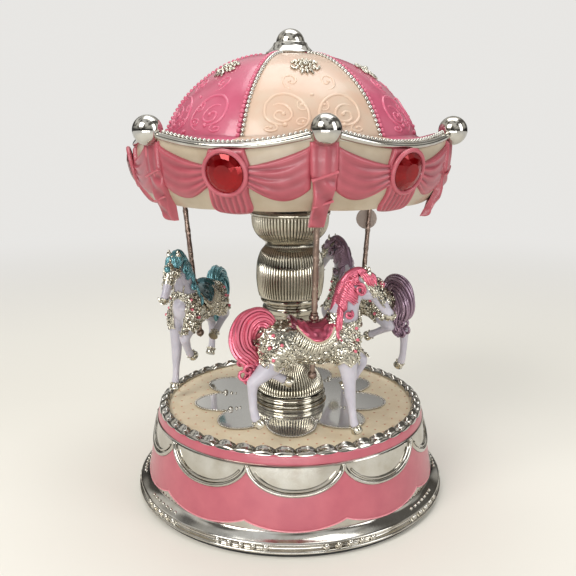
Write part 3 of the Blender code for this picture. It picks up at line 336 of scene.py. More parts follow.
class Graph:
    """The nodes of one material or world. Each method returns the output that carries on."""

    def __init__(self, owner):
        owner.use_nodes = True
        self.nodes = owner.node_tree.nodes
        self.join = owner.node_tree.links.new

    def node(self, kind, values=(), **settings):
        made = self.nodes.new("ShaderNode" + kind)
        for setting, value in settings.items():
            setattr(made, setting, value)
        for socket, value in dict(values).items():
            made.inputs[socket].default_value = value
        return made

    def noise(self, where, scale, detail):
        made = self.node("TexNoise", {"Scale": scale, "Detail": detail})
        self.join(where, made.inputs["Vector"])
        return made.outputs["Fac"]

    def ramp(self, value, low, high, low_colour=(0, 0, 0), high_colour=(1, 1, 1)):
        made = self.node("ValToRGB")
        for element, position, colour in zip(made.color_ramp.elements, (low, high),
                                             (low_colour, high_colour)):
            element.position = position
            element.color = (*colour, 1)
        self.join(value, made.inputs["Fac"])
        return made.outputs["Color"]

    def mix(self, first, second, factor, blend="MIX"):
        """Second over first. The second and the factor may each be an output or a fixed value."""
        made = self.node("Mix", data_type="RGBA", blend_type=blend)
        for socket, given in (("Factor", factor), ("A", first), ("B", second)):
            if isinstance(given, bpy.types.NodeSocket):
                self.join(given, made.inputs[socket])
            else:
                made.inputs[socket].default_value = given
        return made.outputs["Result"]


# painted shade: hollows at HOLLOW pointiness get the full darkening, which fades out by FLUSH
HOLLOW, FLUSH = 0.46, 0.53  # pointiness of the surface in a hollow and where it is level
WORN_FROM, WORN_TO = 0.53, 0.62  # and on an edge that wear begins to brighten, and bares


def finish_material(name, colour, roughness, metallic=0.0, *, vary=0.06, tint=None, grain=900, bump=0.06,
                    bump_scale=1500, coat=0.0, coat_roughness=0.08, wear=0.0, specular=0.5,
                    subsurface=0.0, hollow_shade=0.0):
    """Principled material with mottled colour, uneven polish, fine bump, worn edges and painted shade in
    hollows.
    """
    made = bpy.data.materials.new(name)
    graph = Graph(made)
    shader = graph.nodes["Principled BSDF"]
    fixed = {"Metallic": metallic, "Specular IOR Level": specular, "Coat Weight": coat,
             "Coat Roughness": coat_roughness, "Subsurface Weight": subsurface,
             "Subsurface Radius": (0.002, 0.001, 0.0008), "Subsurface Scale": 1.0}
    for socket, value in fixed.items():
        shader.inputs[socket].default_value = value
    where = graph.node("TexCoord").outputs["Object"]
    shade = tint or tuple(c * (1 - 2.2 * vary) for c in colour)
    last = graph.ramp(graph.noise(where, grain / 6, 5), 0.32, 0.68, shade, colour)
    # painted shade: the colour is darkened in hollows, where less light falls
    if hollow_shade:
        pointiness = graph.node("NewGeometry").outputs["Pointiness"]
        painted_shade = graph.ramp(pointiness, HOLLOW, FLUSH, (1 - hollow_shade,) * 3)
        last = graph.mix(last, painted_shade, 1.0, "MULTIPLY")
    if wear:
        pointiness = graph.node("NewGeometry").outputs["Pointiness"]
        amount = graph.node("Math", {1: wear}, operation="MULTIPLY")
        graph.join(graph.ramp(pointiness, WORN_FROM, WORN_TO), amount.inputs[0])
        bright = (*[min(1, c * 1.5 + 0.12) for c in colour], 1)
        last = graph.mix(last, bright, amount.outputs["Value"])
    graph.join(last, shader.inputs["Base Color"])
    spread = graph.node("MapRange", {"To Min": max(0.02, roughness - 0.06), "To Max": roughness + 0.08})
    graph.join(graph.noise(where, grain, 6), spread.inputs["Value"])
    graph.join(spread.outputs["Result"], shader.inputs["Roughness"])
    relief = graph.node("Bump", {"Strength": bump, "Distance": 0.0002})
    graph.join(graph.noise(where, bump_scale, 3), relief.inputs["Height"])
    graph.join(relief.outputs["Normal"], shader.inputs["Normal"])
    return made


PINK = linear(184, 94, 106)
ROSE = linear(204, 96, 124)
CREAM = linear(212, 188, 166)
IVORY = linear(184, 170, 148)
DRAPE = linear(178, 82, 94)
LAVENDER = linear(198, 194, 202)
METAL = linear(204, 202, 196)
METAL_SHADE = linear(182, 177, 166)
COAT_COLOURS = {"coat_pink": linear(194, 82, 108), "coat_violet": linear(126, 98, 118),
                "coat_teal": linear(74, 136, 146)}


def metal_materials():
    return {
        "chrome": finish_material("chrome", METAL, 0.09, 1.0, vary=0.03, bump=0.03, tint=METAL_SHADE),
        "column": finish_material("column_chrome", linear(196, 191, 176), 0.11, 1.0, vary=0.05, bump=0.03,
                                  tint=linear(164, 157, 142), hollow_shade=0.35),
        "mirror": finish_material("mirror", linear(246, 246, 244), 0.07, 0.92, vary=0.01, bump=0.01),
        "filigree": finish_material("filigree", linear(216, 211, 196), 0.14, 1.0, vary=0.12, bump=0.15,
                                    bump_scale=2600, hollow_shade=0.85),
        "pole": finish_material("pole_metal", linear(150, 132, 120), 0.28, 1.0, vary=0.12, bump=0.3,
                                bump_scale=2400, tint=linear(112, 92, 84), hollow_shade=0.5),
        "steel": finish_material("steel", linear(190, 192, 196), 0.32, 1.0, vary=0.05,
                                 tint=linear(168, 170, 176)),
        "brass": finish_material("brass", linear(214, 180, 108), 0.30, 1.0, vary=0.06,
                                 tint=linear(190, 150, 84)),
    }


def painted_materials():
    return {
        "enamel": finish_material("pink_enamel", PINK, 0.32, 0.0, vary=0.05, coat=0.3, bump=0.05, wear=0.2,
                                  tint=linear(174, 84, 98)),
        "pink_edge": finish_material("pink_edge", linear(228, 150, 158), 0.25, 0.1, coat=0.4),
        "rose": finish_material("rose_dome", ROSE, 0.30, 0.0, vary=0.07, coat=0.35, tint=linear(192, 84, 112),
                                bump=0.10, bump_scale=900, wear=0.25, hollow_shade=0.3),
        "cream": finish_material("cream_dome", CREAM, 0.34, 0.0, vary=0.06, coat=0.3,
                                 tint=linear(214, 180, 156), bump=0.08, bump_scale=900, wear=0.15,
                                 hollow_shade=0.3),
        "floor_cream": finish_material("floor_cream", linear(236, 222, 192), 0.38, 0.0, vary=0.05, coat=0.15,
                                       tint=linear(228, 208, 176), bump=0.10),
        "peach": finish_material("peach_dots", linear(214, 164, 134), 0.35, 0.0),
        "ivory": finish_material("ivory_skirt", IVORY, 0.36, 0.0, vary=0.05, coat=0.2,
                                 tint=linear(172, 156, 132), bump=0.06, hollow_shade=0.35),
        "drape": finish_material("skirt_pink", DRAPE, 0.36, 0.0, vary=0.07, coat=0.25,
                                 tint=linear(162, 70, 82), bump=0.08, wear=0.35, hollow_shade=0.45),
        "ruby": finish_material("ruby", linear(150, 2, 10), 0.10, 0.55, vary=0.4, coat=0.35,
                                coat_roughness=0.05, tint=linear(84, 0, 4), grain=420, bump=0.01,
                                specular=0.3),
        "felt": finish_material("felt", (0.03, 0.03, 0.03), 0.9, 0.0, bump=0.6, bump_scale=2500),
        "horse": finish_material("horse_white", LAVENDER, 0.32, 0.0, vary=0.05, coat=0.3,
                                 tint=linear(180, 176, 188), bump=0.06, subsurface=0.06, hollow_shade=0.3),
        "eye": finish_material("eye", (0.01, 0.01, 0.012), 0.08, 0.0, coat=0.6),
        "pink_stone": finish_material("pink_stone", linear(214, 104, 122), 0.08, 0.3, coat=0.8),
        "cover": finish_material("cover_plastic", linear(208, 190, 164), 0.45, 0.0, vary=0.05, bump=0.15,
                                 tint=linear(196, 176, 150)),
        "hub": finish_material("hub_plastic", linear(168, 152, 140), 0.40, 0.0, vary=0.06, bump=0.12,
                               tint=linear(150, 134, 124)),
    }


def make_materials():
    made = metal_materials()
    made.update(painted_materials())
    for name, colour in COAT_COLOURS.items():
        dark = tuple(c * 0.7 for c in colour)
        made[name] = finish_material("lustre_" + name, colour, 0.24, 0.55, vary=0.12, tint=dark, coat=0.5,
                                     bump=0.12, bump_scale=1800, wear=0.8, hollow_shade=0.75)
    return made


M = make_materials()


# --- base ---------------------------------------------------------------------------------
def drum_radius(height):
    share = max(0.0, min(1.0, (height - 7.0) / (FLOOR_Z - 7.0)))
    return DRUM_FOOT_R - (DRUM_FOOT_R - DRUM_TOP_R) * share ** 1.15


def drum_point(degrees, height, lift):
    return polar(drum_radius(height) + lift, degrees, height)


SWAG_TOP_Z = 28.7
SWAG_DEPTH = 8.9
SCALLOP_Z = 10.5
SCALLOP_DEPTH = 3.1
TRIM_Z = 29.15
BAND_LOW, BAND_TOP = 29.6, 33.15


def swag_phase(degrees):
    """-1 to 1 across one festoon, 0 at its lowest point."""
    return ((degrees - SWAG_TURN) / SWAG_STEP % 1.0) * 2 - 1


def swag_height(degrees):
    return SWAG_TOP_Z - SWAG_DEPTH * (1 - abs(swag_phase(degrees)) ** 2.3) ** 0.66


def scallop_height(degrees):
    return SCALLOP_Z - SCALLOP_DEPTH * (1 - abs(swag_phase(degrees)) ** 1.9) ** 0.85


def build_foot():
    shape = Shape()
    low = FOOT_LOW
    outer = [(54.6, low), (60.4, low), (61.0, low + 0.2), (61.4, low + 0.5), (61.5, low + 0.85),
             (61.35, low + 1.15), (60.9, 2.62), (60.2, 2.72), (59.95, 3.0), (59.9, 3.6), (59.95, 4.2),
             (60.2, 4.45), (60.7, 4.5), (60.95, 4.7), (60.95, 4.9), (60.7, 5.15), (60.2, 5.4), (59.4, 5.8),
             (58.6, 6.25), (57.9, 6.7), (57.4, 7.1), (57.1, 7.4), (56.9, 7.6), (54.6, 7.6)]
    widest = max(r for r, _ in outer)
    outer = [(r * FOOT_R / widest, z) for r, z in outer]
    shape.lathe(outer, 240)
    shape.piece("foot_turned_ring", [M["chrome"]], "base", ["foot_ring"], "chrome", sharp=50)

    beads = Shape()
    for k in range(SWAGS):
        centre = swag_angle(k)
        for i in range(-2, 3):
            at = centre + i * 4.1
            beads.ball(polar(60.3, at, 3.6), 1.12, level=2, stretch=(1, 1, 1.15))
        beads.tube([polar(60.1, centre + a, 3.62) for a in range(-8, 9)], 0.3, 6)
        if k in (0, SWAGS - 1):
            continue
        for i in range(-3, 4):
            beads.ball(polar(59.0, centre + i * 2.6, 6.15), 0.55, level=2)
    beads.piece("foot_beads", [M["chrome"]], "base", slot="chrome")

    pad = Shape()
    pad.lathe([(55.6, 0.0), (59.9, 0.0), (60.0, 0.15), (60.0, 0.95), (59.9, 1.0), (55.6, 1.0), (55.5, 0.9),
               (55.5, 0.1)], 180)
    pad.piece("felt_ring", [M["felt"]], "base", ["base_pad_ring"], "felt")


def build_drum():
    shell = Shape()
    low, steps = DRUM_LOW, 16
    outside = [(drum_radius(low + (DRUM_TOP - low) * i / steps), low + (DRUM_TOP - low) * i / steps)
               for i in range(steps + 1)]
    inner = DRUM_TOP_R - 1.9
    loop = outside + [(inner, DRUM_TOP), (inner, 16.5), (DRUM_FOOT_R - 2.2, 11.6), (DRUM_FOOT_R - 1.9, low)]
    shell.lathe(loop, 240)
    shell.piece("drum_shell", [M["chrome"]], "base", ["base_drum"], "pink", sharp=50)

    enamel = Shape()

    def panel(u, v, lift):
        degrees = 360 * u + SWAG_TURN
        top, bottom = swag_height(degrees) + 0.1, scallop_height(degrees)
        return drum_point(degrees, bottom + (top - bottom) * v, lift)

    enamel.slab(panel, 600, 14, 0.42, sink=0.15, edge=0.05, wrap=True)

    def band(u, v, lift):
        return drum_point(360 * u, BAND_LOW + (BAND_TOP - BAND_LOW) * v, lift)

    enamel.slab(band, 240, 8, 0.40, sink=0.15, edge=0.12, wrap=True)
    enamel.piece("drum_enamel", [M["enamel"]], "base", slot="pink", sharp=60)

    trim = Shape()
    trim.tube([drum_point(a * 1.5, TRIM_Z, 0.25) for a in range(240)], 0.5, 8, closed=True)
    for k in range(SWAGS):
        start = swag_angle(k)
        along = [start + SWAG_STEP * i / 60 for i in range(61)]
        inset = 0.25
        outer_run = [drum_point(a, swag_height(a) if 0 < i < 60 else SWAG_TOP_Z, inset)
                     for i, a in enumerate(along)]
        trim.tube(outer_run, 0.8, 10)
        inner_run = []
        for a in along[3:-3]:
            phase = swag_phase(a)
            inner_run.append(drum_point(start + SWAG_STEP * (0.5 + phase * 0.465),
                                        SWAG_TOP_Z - 0.2 - (SWAG_TOP_Z - swag_height(a) - 1.5) * 0.99, inset))
        trim.tube(inner_run, 0.46, 8)
        trim.ball(drum_point(start, SWAG_TOP_Z - 0.2, 0.3), 0.85, level=2)
    trim.piece("drum_festoons", [M["chrome"]], "base", slot="chrome")

    edge = Shape()
    line = []
    for i in range(SWAGS * 40):
        a = SWAG_TURN + SWAG_STEP * i / 40
        line.append(drum_point(a, scallop_height(a) + 0.05, 0.22))
    edge.tube(line, 0.30, 8, closed=True)
    edge.piece("drum_scallop_edge", [M["pink_edge"]], "base", slot="pink")


PETAL_INNER, PETAL_TIP, PETAL_HALF = 14.7, 38.4, 9.2
PETAL_TURN = 1
PLATE_RISE, PLATE_TOP = 0.15, 0.62
FRILL_LOBES = 45


def petal_reach(off):
    """Outer edge of the petal plate at an angle off the petal's middle: each petal is an ellipse."""
    length = (PETAL_TIP - PETAL_INNER) / 2
    centre = PETAL_INNER + length
    off = math.radians(off)
    a = (math.cos(off) / length) ** 2 + (math.sin(off) / PETAL_HALF) ** 2
    b = centre * math.cos(off) / length ** 2
    c = (centre / length) ** 2 - 1
    return (b + math.sqrt(max(b * b - a * c, 0))) / a


def build_floor():
    deck = Shape()
    deck.lathe([(1.8, FLOOR_Z - 1.8), (DECK_R, FLOOR_Z - 1.8), (DECK_R, FLOOR_Z), (45, FLOOR_Z),
                (30, FLOOR_Z), (15, FLOOR_Z), (1.8, FLOOR_Z)], 180)
    deck.piece("floor_plate", [M["floor_cream"]], "base", ["floor_deck"], "cream")

    dots = Shape()
    for ring, radius in enumerate((31.5, 36.0, 40.2, 44.0, 47.2)):
        count = int(TAU * radius / 6.2)
        for k in range(count):
            angle = 360 * (k + 0.5 * (ring % 2)) / count
            off = (angle + 180 / PETALS - 1) % (360 / PETALS) - 180 / PETALS
            if radius < petal_reach(off) + 1.4:
                continue
            dots.ball(polar(radius, angle, FLOOR_Z + 0.02), 0.42, level=1, stretch=(1, 1, 0.45))
    dots.piece("floor_dots", [M["peach"]], "base", slot="cream")

    step = 360 / PETALS
    plate = Shape()
    rows = []
    for k in range(PETALS * 40):
        angle = PETAL_TURN + step * (k / 40 - 0.5)
        off = step * (k % 40) / 40 - step / 2
        reach = petal_reach(off) - 0.25
        low, high = FLOOR_Z + PLATE_RISE, FLOOR_Z + PLATE_TOP
        rows.append([polar(PETAL_INNER, angle, low), polar(reach, angle, low),
                     polar(reach, angle, high - 0.12), polar(reach - 0.15, angle, high),
                     polar(PETAL_INNER, angle, high)])
    plate.grid(rows, wrap_rows=True, wrap_columns=True)
    plate.piece("petal_plate", [M["mirror"]], "base", ["petal_rosette"], "mirror", sharp=30)

    beads = Shape()
    for k in range(PETALS):
        line = [polar(petal_reach(off), PETAL_TURN + step * k + off, FLOOR_Z + 0.55)
                for off in np.linspace(-step / 2, step / 2, 60)]
        for at in spaced(line, 1.1)[1:]:
            beads.ball(at, 0.47, level=1)
        notch = PETAL_TURN + step * (k + 0.5)
        valley = petal_reach(step / 2)
        beads.ball(polar(valley + 0.3, notch, FLOOR_Z + 1.0), 1.0, level=2)
        beads.ball(polar(valley - 2.2, notch, FLOOR_Z + 0.8), 0.6, level=2)
        beads.ball(polar(valley - 3.9, notch, FLOOR_Z + 0.75), 0.45, level=1)
    beads.piece("petal_beads", [M["chrome"]], "base", slot="chrome")

    frill = Shape()
    per = 14
    rows = []
    for k in range(FRILL_LOBES * per):
        angle = 2 + 360 * k / (FRILL_LOBES * per)
        arch = math.sin(math.pi * (k % per) / per) ** 0.6
        base = FLOOR_Z + 0.35
        # the lip dips between two lobes and rolls down over the band in each lobe
        row = [(48.7, base), (48.7, base + 0.1 + 0.4 * arch), (49.3, base + 0.4 + 1.15 * arch),
               (50.1, base + 0.3 + 1.85 * arch), (50.9, base + 0.1 + 1.55 * arch),
               (51.5, base - 0.1 + 1.1 * arch), (51.9, base + 0.1 + 0.85 * arch),
               (52.3 + 0.15 * arch, base + 0.15 + 0.35 * arch),
               (52.45 + 0.2 * arch, base + 0.0 - 0.55 * arch), (52.2 + 0.1 * arch, base - 0.15 - 0.75 * arch),
               (51.6, base - 0.15 - 0.4 * arch), (51.2, base)]
        rows.append([polar(r, angle, z) for r, z in row])
    frill.grid(rows, wrap_rows=True, wrap_columns=True)
    frill.piece("floor_frill", [M["chrome"]], "base", ["floor_ruffle"], "chrome", sharp=55)


# --- column ---------------------------------------------------------------------------------
FLUTES = 72


def build_column():
    def turned(name, node, profile, flutes=None, depth=0.035, bore=3.2):
        low, high = cad(node, 2, 0), cad(node, 2, 1)
        outside = [(max(r, 4.0), min(max(z, low), high)) for r, z in profile]
        shape = Shape()
        loop = [(bore, low), *outside, (bore, high)]

        def radius_at(index, degrees, radius):
            if not flutes or radius < 4.1:
                return radius
            z = loop[index][1]
            fade = min(1.0, (z - flutes[0]) / 1.0, (flutes[1] - z) / 1.0)
            if fade <= 0:
                return radius
            wave = abs(math.sin(math.radians(degrees) * FLUTES / 2)) ** 0.7
            return radius * (1 - depth * fade * (1 - wave))

        shape.lathe(loop, FLUTES * 8 if flutes else 160, radius_at=radius_at)
        shape.piece(name, [M["column"]], "base", [node], "chrome", sharp=42)

    turned("column_foot_ring", "column_foot",
           [(14.0, 33.3), (14.2, 33.6), (14.2, 34.6), (14.0, 34.9), (13.5, 35.05), (13.5, 35.3), (14.0, 35.5),
            (14.25, 35.9), (14.25, 36.9), (14.0, 37.25), (13.6, 37.4), (13.5, 37.7)])
    turned("column_fluted_dome", "column_dome",
           smooth_profile([(13.3, 38.0), (13.55, 38.4), (13.5, 39.4), (13.05, 41.4), (11.9, 44.0),
                           (9.9, 47.0), (7.7, 49.6), (6.4, 51.6), (6.3, 52.4)]), (38.2, 52.0), 0.075)
    turned("column_turned_stem", "column_stem",
           smooth_profile([(7.1, 52.7), (7.9, 53.3), (7.5, 54.1), (6.5, 55.0), (6.6, 58.0), (7.8, 62.0),
                           (8.7, 65.0), (9.3, 68.0)], 4)
           + [(9.4, 69.6), (10.0, 69.8), (10.8, 70.3), (11.0, 71.2), (11.0, 72.2), (10.7, 72.8), (10.2, 73.2),
              (10.3, 73.7), (11.1, 74.1), (11.6, 74.7), (11.75, 75.4), (11.6, 75.9)])
    turned("column_fluted_barrel", "column_barrel",
           smooth_profile([(11.8, 76.2), (12.4, 77.0), (13.05, 80.5), (13.35, 84.5), (13.2, 88.5),
                           (12.6, 91.5), (11.5, 94.2), (10.0, 96.1), (9.6, 97.2)]), (76.6, 97.0), 0.045)
    turned("column_fluted_capital", "column_capital",
           smooth_profile([(9.7, 97.5), (10.5, 98.4), (12.2, 99.8), (13.7, 101.6), (14.7, 104.0),
                           (15.0, 106.2), (15.05, 108.2)]) + [(15.5, 108.5), (15.55, 108.9), (15.55, 109.6), (15.4, 109.8)],
           (98.4, 108.4), 0.05, bore=1.8)


# --- canopy -----------------------------------------------------------------------------------
def off_corner(degrees):
    return (degrees - CORNER_TURN + CORNER_STEP / 2) % CORNER_STEP - CORNER_STEP / 2


def rim_at(degrees):
    """Radius and height of the rim's centre line: cusps at the balls, droops between."""
    share = abs(off_corner(degrees)) / (CORNER_STEP / 2)
    droop = 1 - (1 - share) ** 2
    return CORNER_R + (RIM_MID_R - CORNER_R) * droop, RIM_TOP - 0.1 - RIM_SAG * droop


SKIRT_SIDE = [(48.9, 113.2), (50.6, 114.0), (52.0, 115.4), (53.6, 117.4), (55.0, 119.6), (56.1, 122.4),
              (56.8, 126.5), (57.1, 131.0), (57.2, 134.4)]
FLARE_FROM = 122.0


def skirt_radius(degrees, height):
    """The skirt bulges out to the rim above, and draws in under it below."""
    rim_r, rim_z = rim_at(degrees)
    base = lerp_profile(SKIRT_SIDE, height)
    share = max(0.0, (height - FLARE_FROM) / (rim_z - FLARE_FROM))
    share = min(1.0, share) ** 1.6
    return base + (rim_r - 0.3 - lerp_profile(SKIRT_SIDE, rim_z)) * share


def skirt_point(degrees, height, lift):
    return polar(skirt_radius(degrees, height) + lift, degrees, height)


CLOTH_FROM, CLOTH_TO = 3.6, 24.5  # degrees off the corner, where a drape begins and ends
PAD_LOW, PAD_TOP = 113.9, 134.2
STONE_OUT, STONE_Z = 57.1, 127.0


def build_skirt():
    shell = Shape()
    rows = []
    for k in range(240):
        degrees = 360 * k / 240
        _, rim_z = rim_at(degrees)
        top = rim_z - 0.5
        middle = abs(abs(off_corner(degrees)) - CORNER_STEP / 4) / (CORNER_STEP / 4)
        bottom = 115.0 + 0.55 * middle ** 2
        zs = [bottom + (top - bottom) * (i / 12) for i in range(13)]
        outer = [(skirt_radius(degrees, z), z) for z in zs]
        curl = [(outer[0][0] - 0.5, bottom - 0.35), (outer[0][0] - 1.2, bottom - 0.1)]
        inner = [(skirt_radius(degrees, z) - 1.6, z) for z in zs[1:]]
        loop = curl[::-1] + outer + inner[::-1]
        rows.append([polar(r, degrees, z) for r, z in loop])
    shell.grid(rows, wrap_rows=True, wrap_columns=True)
    shell.piece("skirt_shell", [M["ivory"]], "carousel", ["canopy_skirt"], "cream", sharp=50)

    drapes = Shape()
    for k in range(CORNERS):
        corner = corner_angle(k)
        for side in (-1, 1):
            def cloth(u, v, lift, corner=corner, side=side):
                # u runs from the ribbon to the stone, v from the lower edge to the upper
                off = CLOTH_FROM + (CLOTH_TO - CLOTH_FROM) * u
                degrees = corner + side * off
                _, rim_z = rim_at(degrees)
                upper = 135.6 - 7.6 * u ** 0.72 + 0.8 * u ** 4
                upper = min(upper, rim_z - 1.0)
                lower = 122.2 - 4.6 * math.sin(math.pi * min(1, u * 0.98) ** 0.85) + 1.4 * u
                return skirt_point(degrees, lower + (upper - lower) * v, lift)

            def folds(u, v):
                return (0.26 * math.sin((v * 4.2 + 0.45 * math.sin(2.4 * u + 0.6)) * TAU)
                        * min(1.0, 0.15 + 1.1 * u))

            drapes.slab(cloth, 30, 26, 1.25, sink=0.3, edge=0.10, relief=folds)
    drapes.piece("skirt_drapes", [M["drape"]], "carousel", slot="pink", sharp=70)

    build_straps()
    build_ribbons()


STONE_R = 6.15
BEZEL_R = 6.95
STONE_LEAN = math.radians(14)


def build_straps():
    """Pad, round bezel and pleated tassel at each red stone."""
    straps = Shape()
    arc = math.degrees(1 / 56.5)
    for k in range(CORNERS):
        centre = corner_angle(k + 0.5)

        def pad(u, v, lift, centre=centre):
            z = PAD_LOW + (PAD_TOP - PAD_LOW) * v
            half = 6.6 + 1.1 * math.exp(-((z - 127.2) / 4.5) ** 2) - 0.9 * max(0, (z - 130) / 5)
            half += 0.9 * max(0.0, min(1.0, (121 - z) / 5))
            rounding = math.sqrt(max(0.0, 1 - max(0.0, (116.6 - z) / 2.9) ** 2))
            half *= 0.55 + 0.45 * rounding
            across = (u - 0.5) * 2
            z += -0.55 * (1 - across ** 2) * max(0.0, 1 - v * 4)
            return skirt_point(centre + across * half * arc, z, lift)

        def pleats(u, v):
            fade = max(0.0, min(1.0, (0.40 - v) / 0.12))
            return 0.28 * fade * math.sin(u * TAU * 7) - 0.15

        straps.slab(pad, 56, 30, 1.55, sink=0.3, edge=0.07, relief=pleats)
        normal_out = Vector(polar(1, centre, 0))
        side = Vector((-normal_out.y, normal_out.x, 0))
        up = Vector((0, 0, 1)) * math.cos(STONE_LEAN) + normal_out * math.sin(STONE_LEAN)
        face = normal_out * math.cos(STONE_LEAN) - Vector((0, 0, 1)) * math.sin(STONE_LEAN)
        heart = Vector(polar(STONE_OUT, centre, STONE_Z)) + face * 1.1
        straps.tube(circle(heart, side, up, BEZEL_R, 48), 0.75, 10, closed=True)
        gem = Shape()
        # ring radius share and height of each level of facets: girdle, crown, table edge
        levels = ((1.0, -0.8, 24, 0.0), (1.0, 0.35, 24, 0.5), (0.80, 1.15, 12, 0.0), (0.50, 1.75, 12, 0.5))
        rings = []
        for share, height, count, shift in levels:
            rings.append([heart + (side * math.cos(a) + up * math.sin(a)) * STONE_R * share + face * height
                          for a in (TAU * (i + shift) / count for i in range(count))])
        points = [p for ring_points in rings for p in ring_points]
        faces = [tuple(range(24))[::-1], tuple(range(60, 72))]
        for i in range(24):
            j = (i + 1) % 24
            faces += [(i, j, 24 + i), (24 + i, j, 24 + j)]
        for i in range(12):
            j = (i + 1) % 12
            a, b, c = 24 + (2 * i - 1) % 24, 24 + 2 * i, 24 + (2 * i + 1) % 24
            faces += [(a, b, 48 + i), (b, c, 48 + i), (48 + i, c, 48 + j)]
            faces += [(48 + i, 48 + j, 60 + i), (60 + i, 48 + j, 60 + j)]
        gem.add([tuple(p) for p in points], faces)
        gem.piece("stone_%d" % (k + 1), [M["ruby"]], "carousel", ["jewel_%d" % (k + 1)], "ruby", sharp=3)
    straps.piece("skirt_straps", [M["drape"]], "carousel", slot="pink", sharp=60)


RIBBON_BENDS = ((136.2, 59.1, 4.5, 0.0), (131.0, 59.0, 4.4, 0.0), (126.6, 58.6, 4.2, 0.1),
                (124.4, 57.6, 3.7, 0.5), (121.0, 57.3, 3.4, 0.7), (117.0, 55.6, 3.1, 0.2),
                (113.5, 53.8, 2.8, -0.5), (109.9, 52.6, 2.5, -0.9))


def ribbon_at(height):
    """Radius, half width and sideways drift of the ribbon's middle at a height."""
    lines = [[(row[0], row[i]) for row in RIBBON_BENDS] for i in (1, 2, 3)]
    return [np.interp(-height, [-z for z, _ in line], [value for _, value in line]) for line in lines]


def build_ribbons():
    """Ribbon that hangs from each corner ball: flat at first, then a twisted, tapering tail."""
    ribbons = Shape()
    high, fold_z, low = RIBBON_BENDS[0][0], 126.0, RIBBON_BENDS[-1][0]
    for k in range(CORNERS):
        corner = corner_angle(k)

        def cloth(u, v, lift, corner=corner):
            across = (u - 0.5) * 2
            z = low + (high - low) * v
            slant = 1.4 * across * max(0.0, min(1.0, (fold_z - z) / 5))
            radius, half, drift = ribbon_at(z)
            side = math.degrees((half * across + drift) / radius)
            return polar(radius - 0.35 * across ** 2 + lift, corner + side,
                         max(low, z + slant * min(1, v * 6)))

        def creases(u, v):
            z = low + (high - low) * v
            if z > fold_z:
                return 0.14 * math.sin(u * TAU * 2.5) - 0.12
            diagonal = (z - low) / (fold_z - low) * 2.1 + u * 0.9
            calm = math.sin(math.pi * u) ** 0.5 * math.sin(math.pi * min(1.0, (fold_z - z) / 3) / 2)
            return 0.5 * math.sin(diagonal * TAU) * calm

        ribbons.slab(cloth, 28, 60, 0.9, sink=1.9, edge=0.08, relief=creases)
        for z, thick in ((fold_z, 0.5), (fold_z - 8.6, 0.42)):
            radius, half, drift = ribbon_at(z)
            ribbons.tube([polar(radius + 0.85, corner + math.degrees((x + drift) / radius), z + 0.32 * x)
                          for x in np.linspace(-half, half, 12)], thick, 8)
    ribbons.piece("skirt_ribbons", [M["drape"]], "carousel", slot="pink", sharp=60)


def build_rim():
    rim = Shape()
    samples = 360
    line, lip = [], []
    for a in range(samples):
        degrees = a * 360 / samples
        r, z = rim_at(degrees)
        line.append(polar(r, degrees, z))
        lip.append(polar(r - 0.9, degrees, z - 1.0))
    rim.tube(line, 1.15, 14, closed=True)
    rim.tube(lip, 0.55, 8, closed=True)
    rim.piece("rim_rail", [M["chrome"]], "carousel", ["canopy_rim"], "chrome")

    pearls = Shape()
    inner = [polar(rim_at(a / 4)[0] - 1.45, a / 4, rim_at(a / 4)[1] + 1.3) for a in range(1441)]
    for at in spaced(inner, 1.62)[:-1]:
        if min((Vector(at) - Vector(polar(CORNER_R, corner_angle(k), BALL_Z))).length
               for k in range(CORNERS)) > BALL_R + 0.2:
            pearls.ball(at, 0.78, level=2)
    pearls.piece("rim_pearls", [M["chrome"]], "carousel", slot="chrome")

    for k in range(CORNERS):
        knob = Shape()
        centre = polar(CORNER_R, corner_angle(k), BALL_Z)
        steps = 28
        profile = [(BALL_R * math.sin(math.pi * i / steps), -BALL_R * math.cos(math.pi * i / steps))
                   for i in range(1, steps)]
        rows = []
        for i in range(56):
            a = TAU * i / 56
            rows.append([(centre[0] + r * math.cos(a), centre[1] + r * math.sin(a), centre[2] + z)
                         for r, z in profile])
        knob.grid(rows, wrap_rows=True)
        for end in (0, -1):
            knob.add([row[end] for row in rows], [tuple(range(56))])
        knob.piece("corner_knob_%d" % (k + 1), [M["chrome"]], "carousel", ["corner_ball_%d" % (k + 1)],
                   "chrome", weld=1e-5)


DOME_SIDE = [(46.9, 137.9), (46.3, 139.4), (45.3, 141.4), (43.9, 144.0), (41.9, 147.2), (39.2, 150.9),
             (35.8, 154.4), (32.0, 157.6), (27.9, 160.5), (23.6, 162.9), (19.2, 164.7), (14.6, 165.9),
             (10.6, 166.4), (7.9, 166.5)]


DOME_LINE = smooth_profile(DOME_SIDE, 4)


def dome_radius(t):
    return DOME_LINE[int(t * (len(DOME_LINE) - 1))][0]


def seam_distance(degrees):
    """Degrees to the nearest seam; the seams stand over the stones."""
    return abs(CORNER_STEP / 2 - abs(off_corner(degrees)))


def dome_point(degrees, t, lift):
    """Point on the dome: t runs from its foot, 0, to its top, 1."""
    at = min(max(t, 0.0), 1.0) * (len(DOME_LINE) - 1)
    i = min(int(at), len(DOME_LINE) - 2)
    share = at - i
    (r0, z0), (r1, z1) = DOME_LINE[i], DOME_LINE[i + 1]
    r, z = r0 + (r1 - r0) * share, z0 + (z1 - z0) * share
    length = math.hypot(r1 - r0, z1 - z0)
    out_r, out_z = (z1 - z0) / length, -(r1 - r0) / length
    seam = seam_distance(degrees)
    puff = 0.75 * (1 - math.exp(-(seam / 5.0))) - 0.75
    lift = lift + puff * min(1.0, 1.15 - t)
    return polar(r + out_r * lift, degrees, z + out_z * lift)


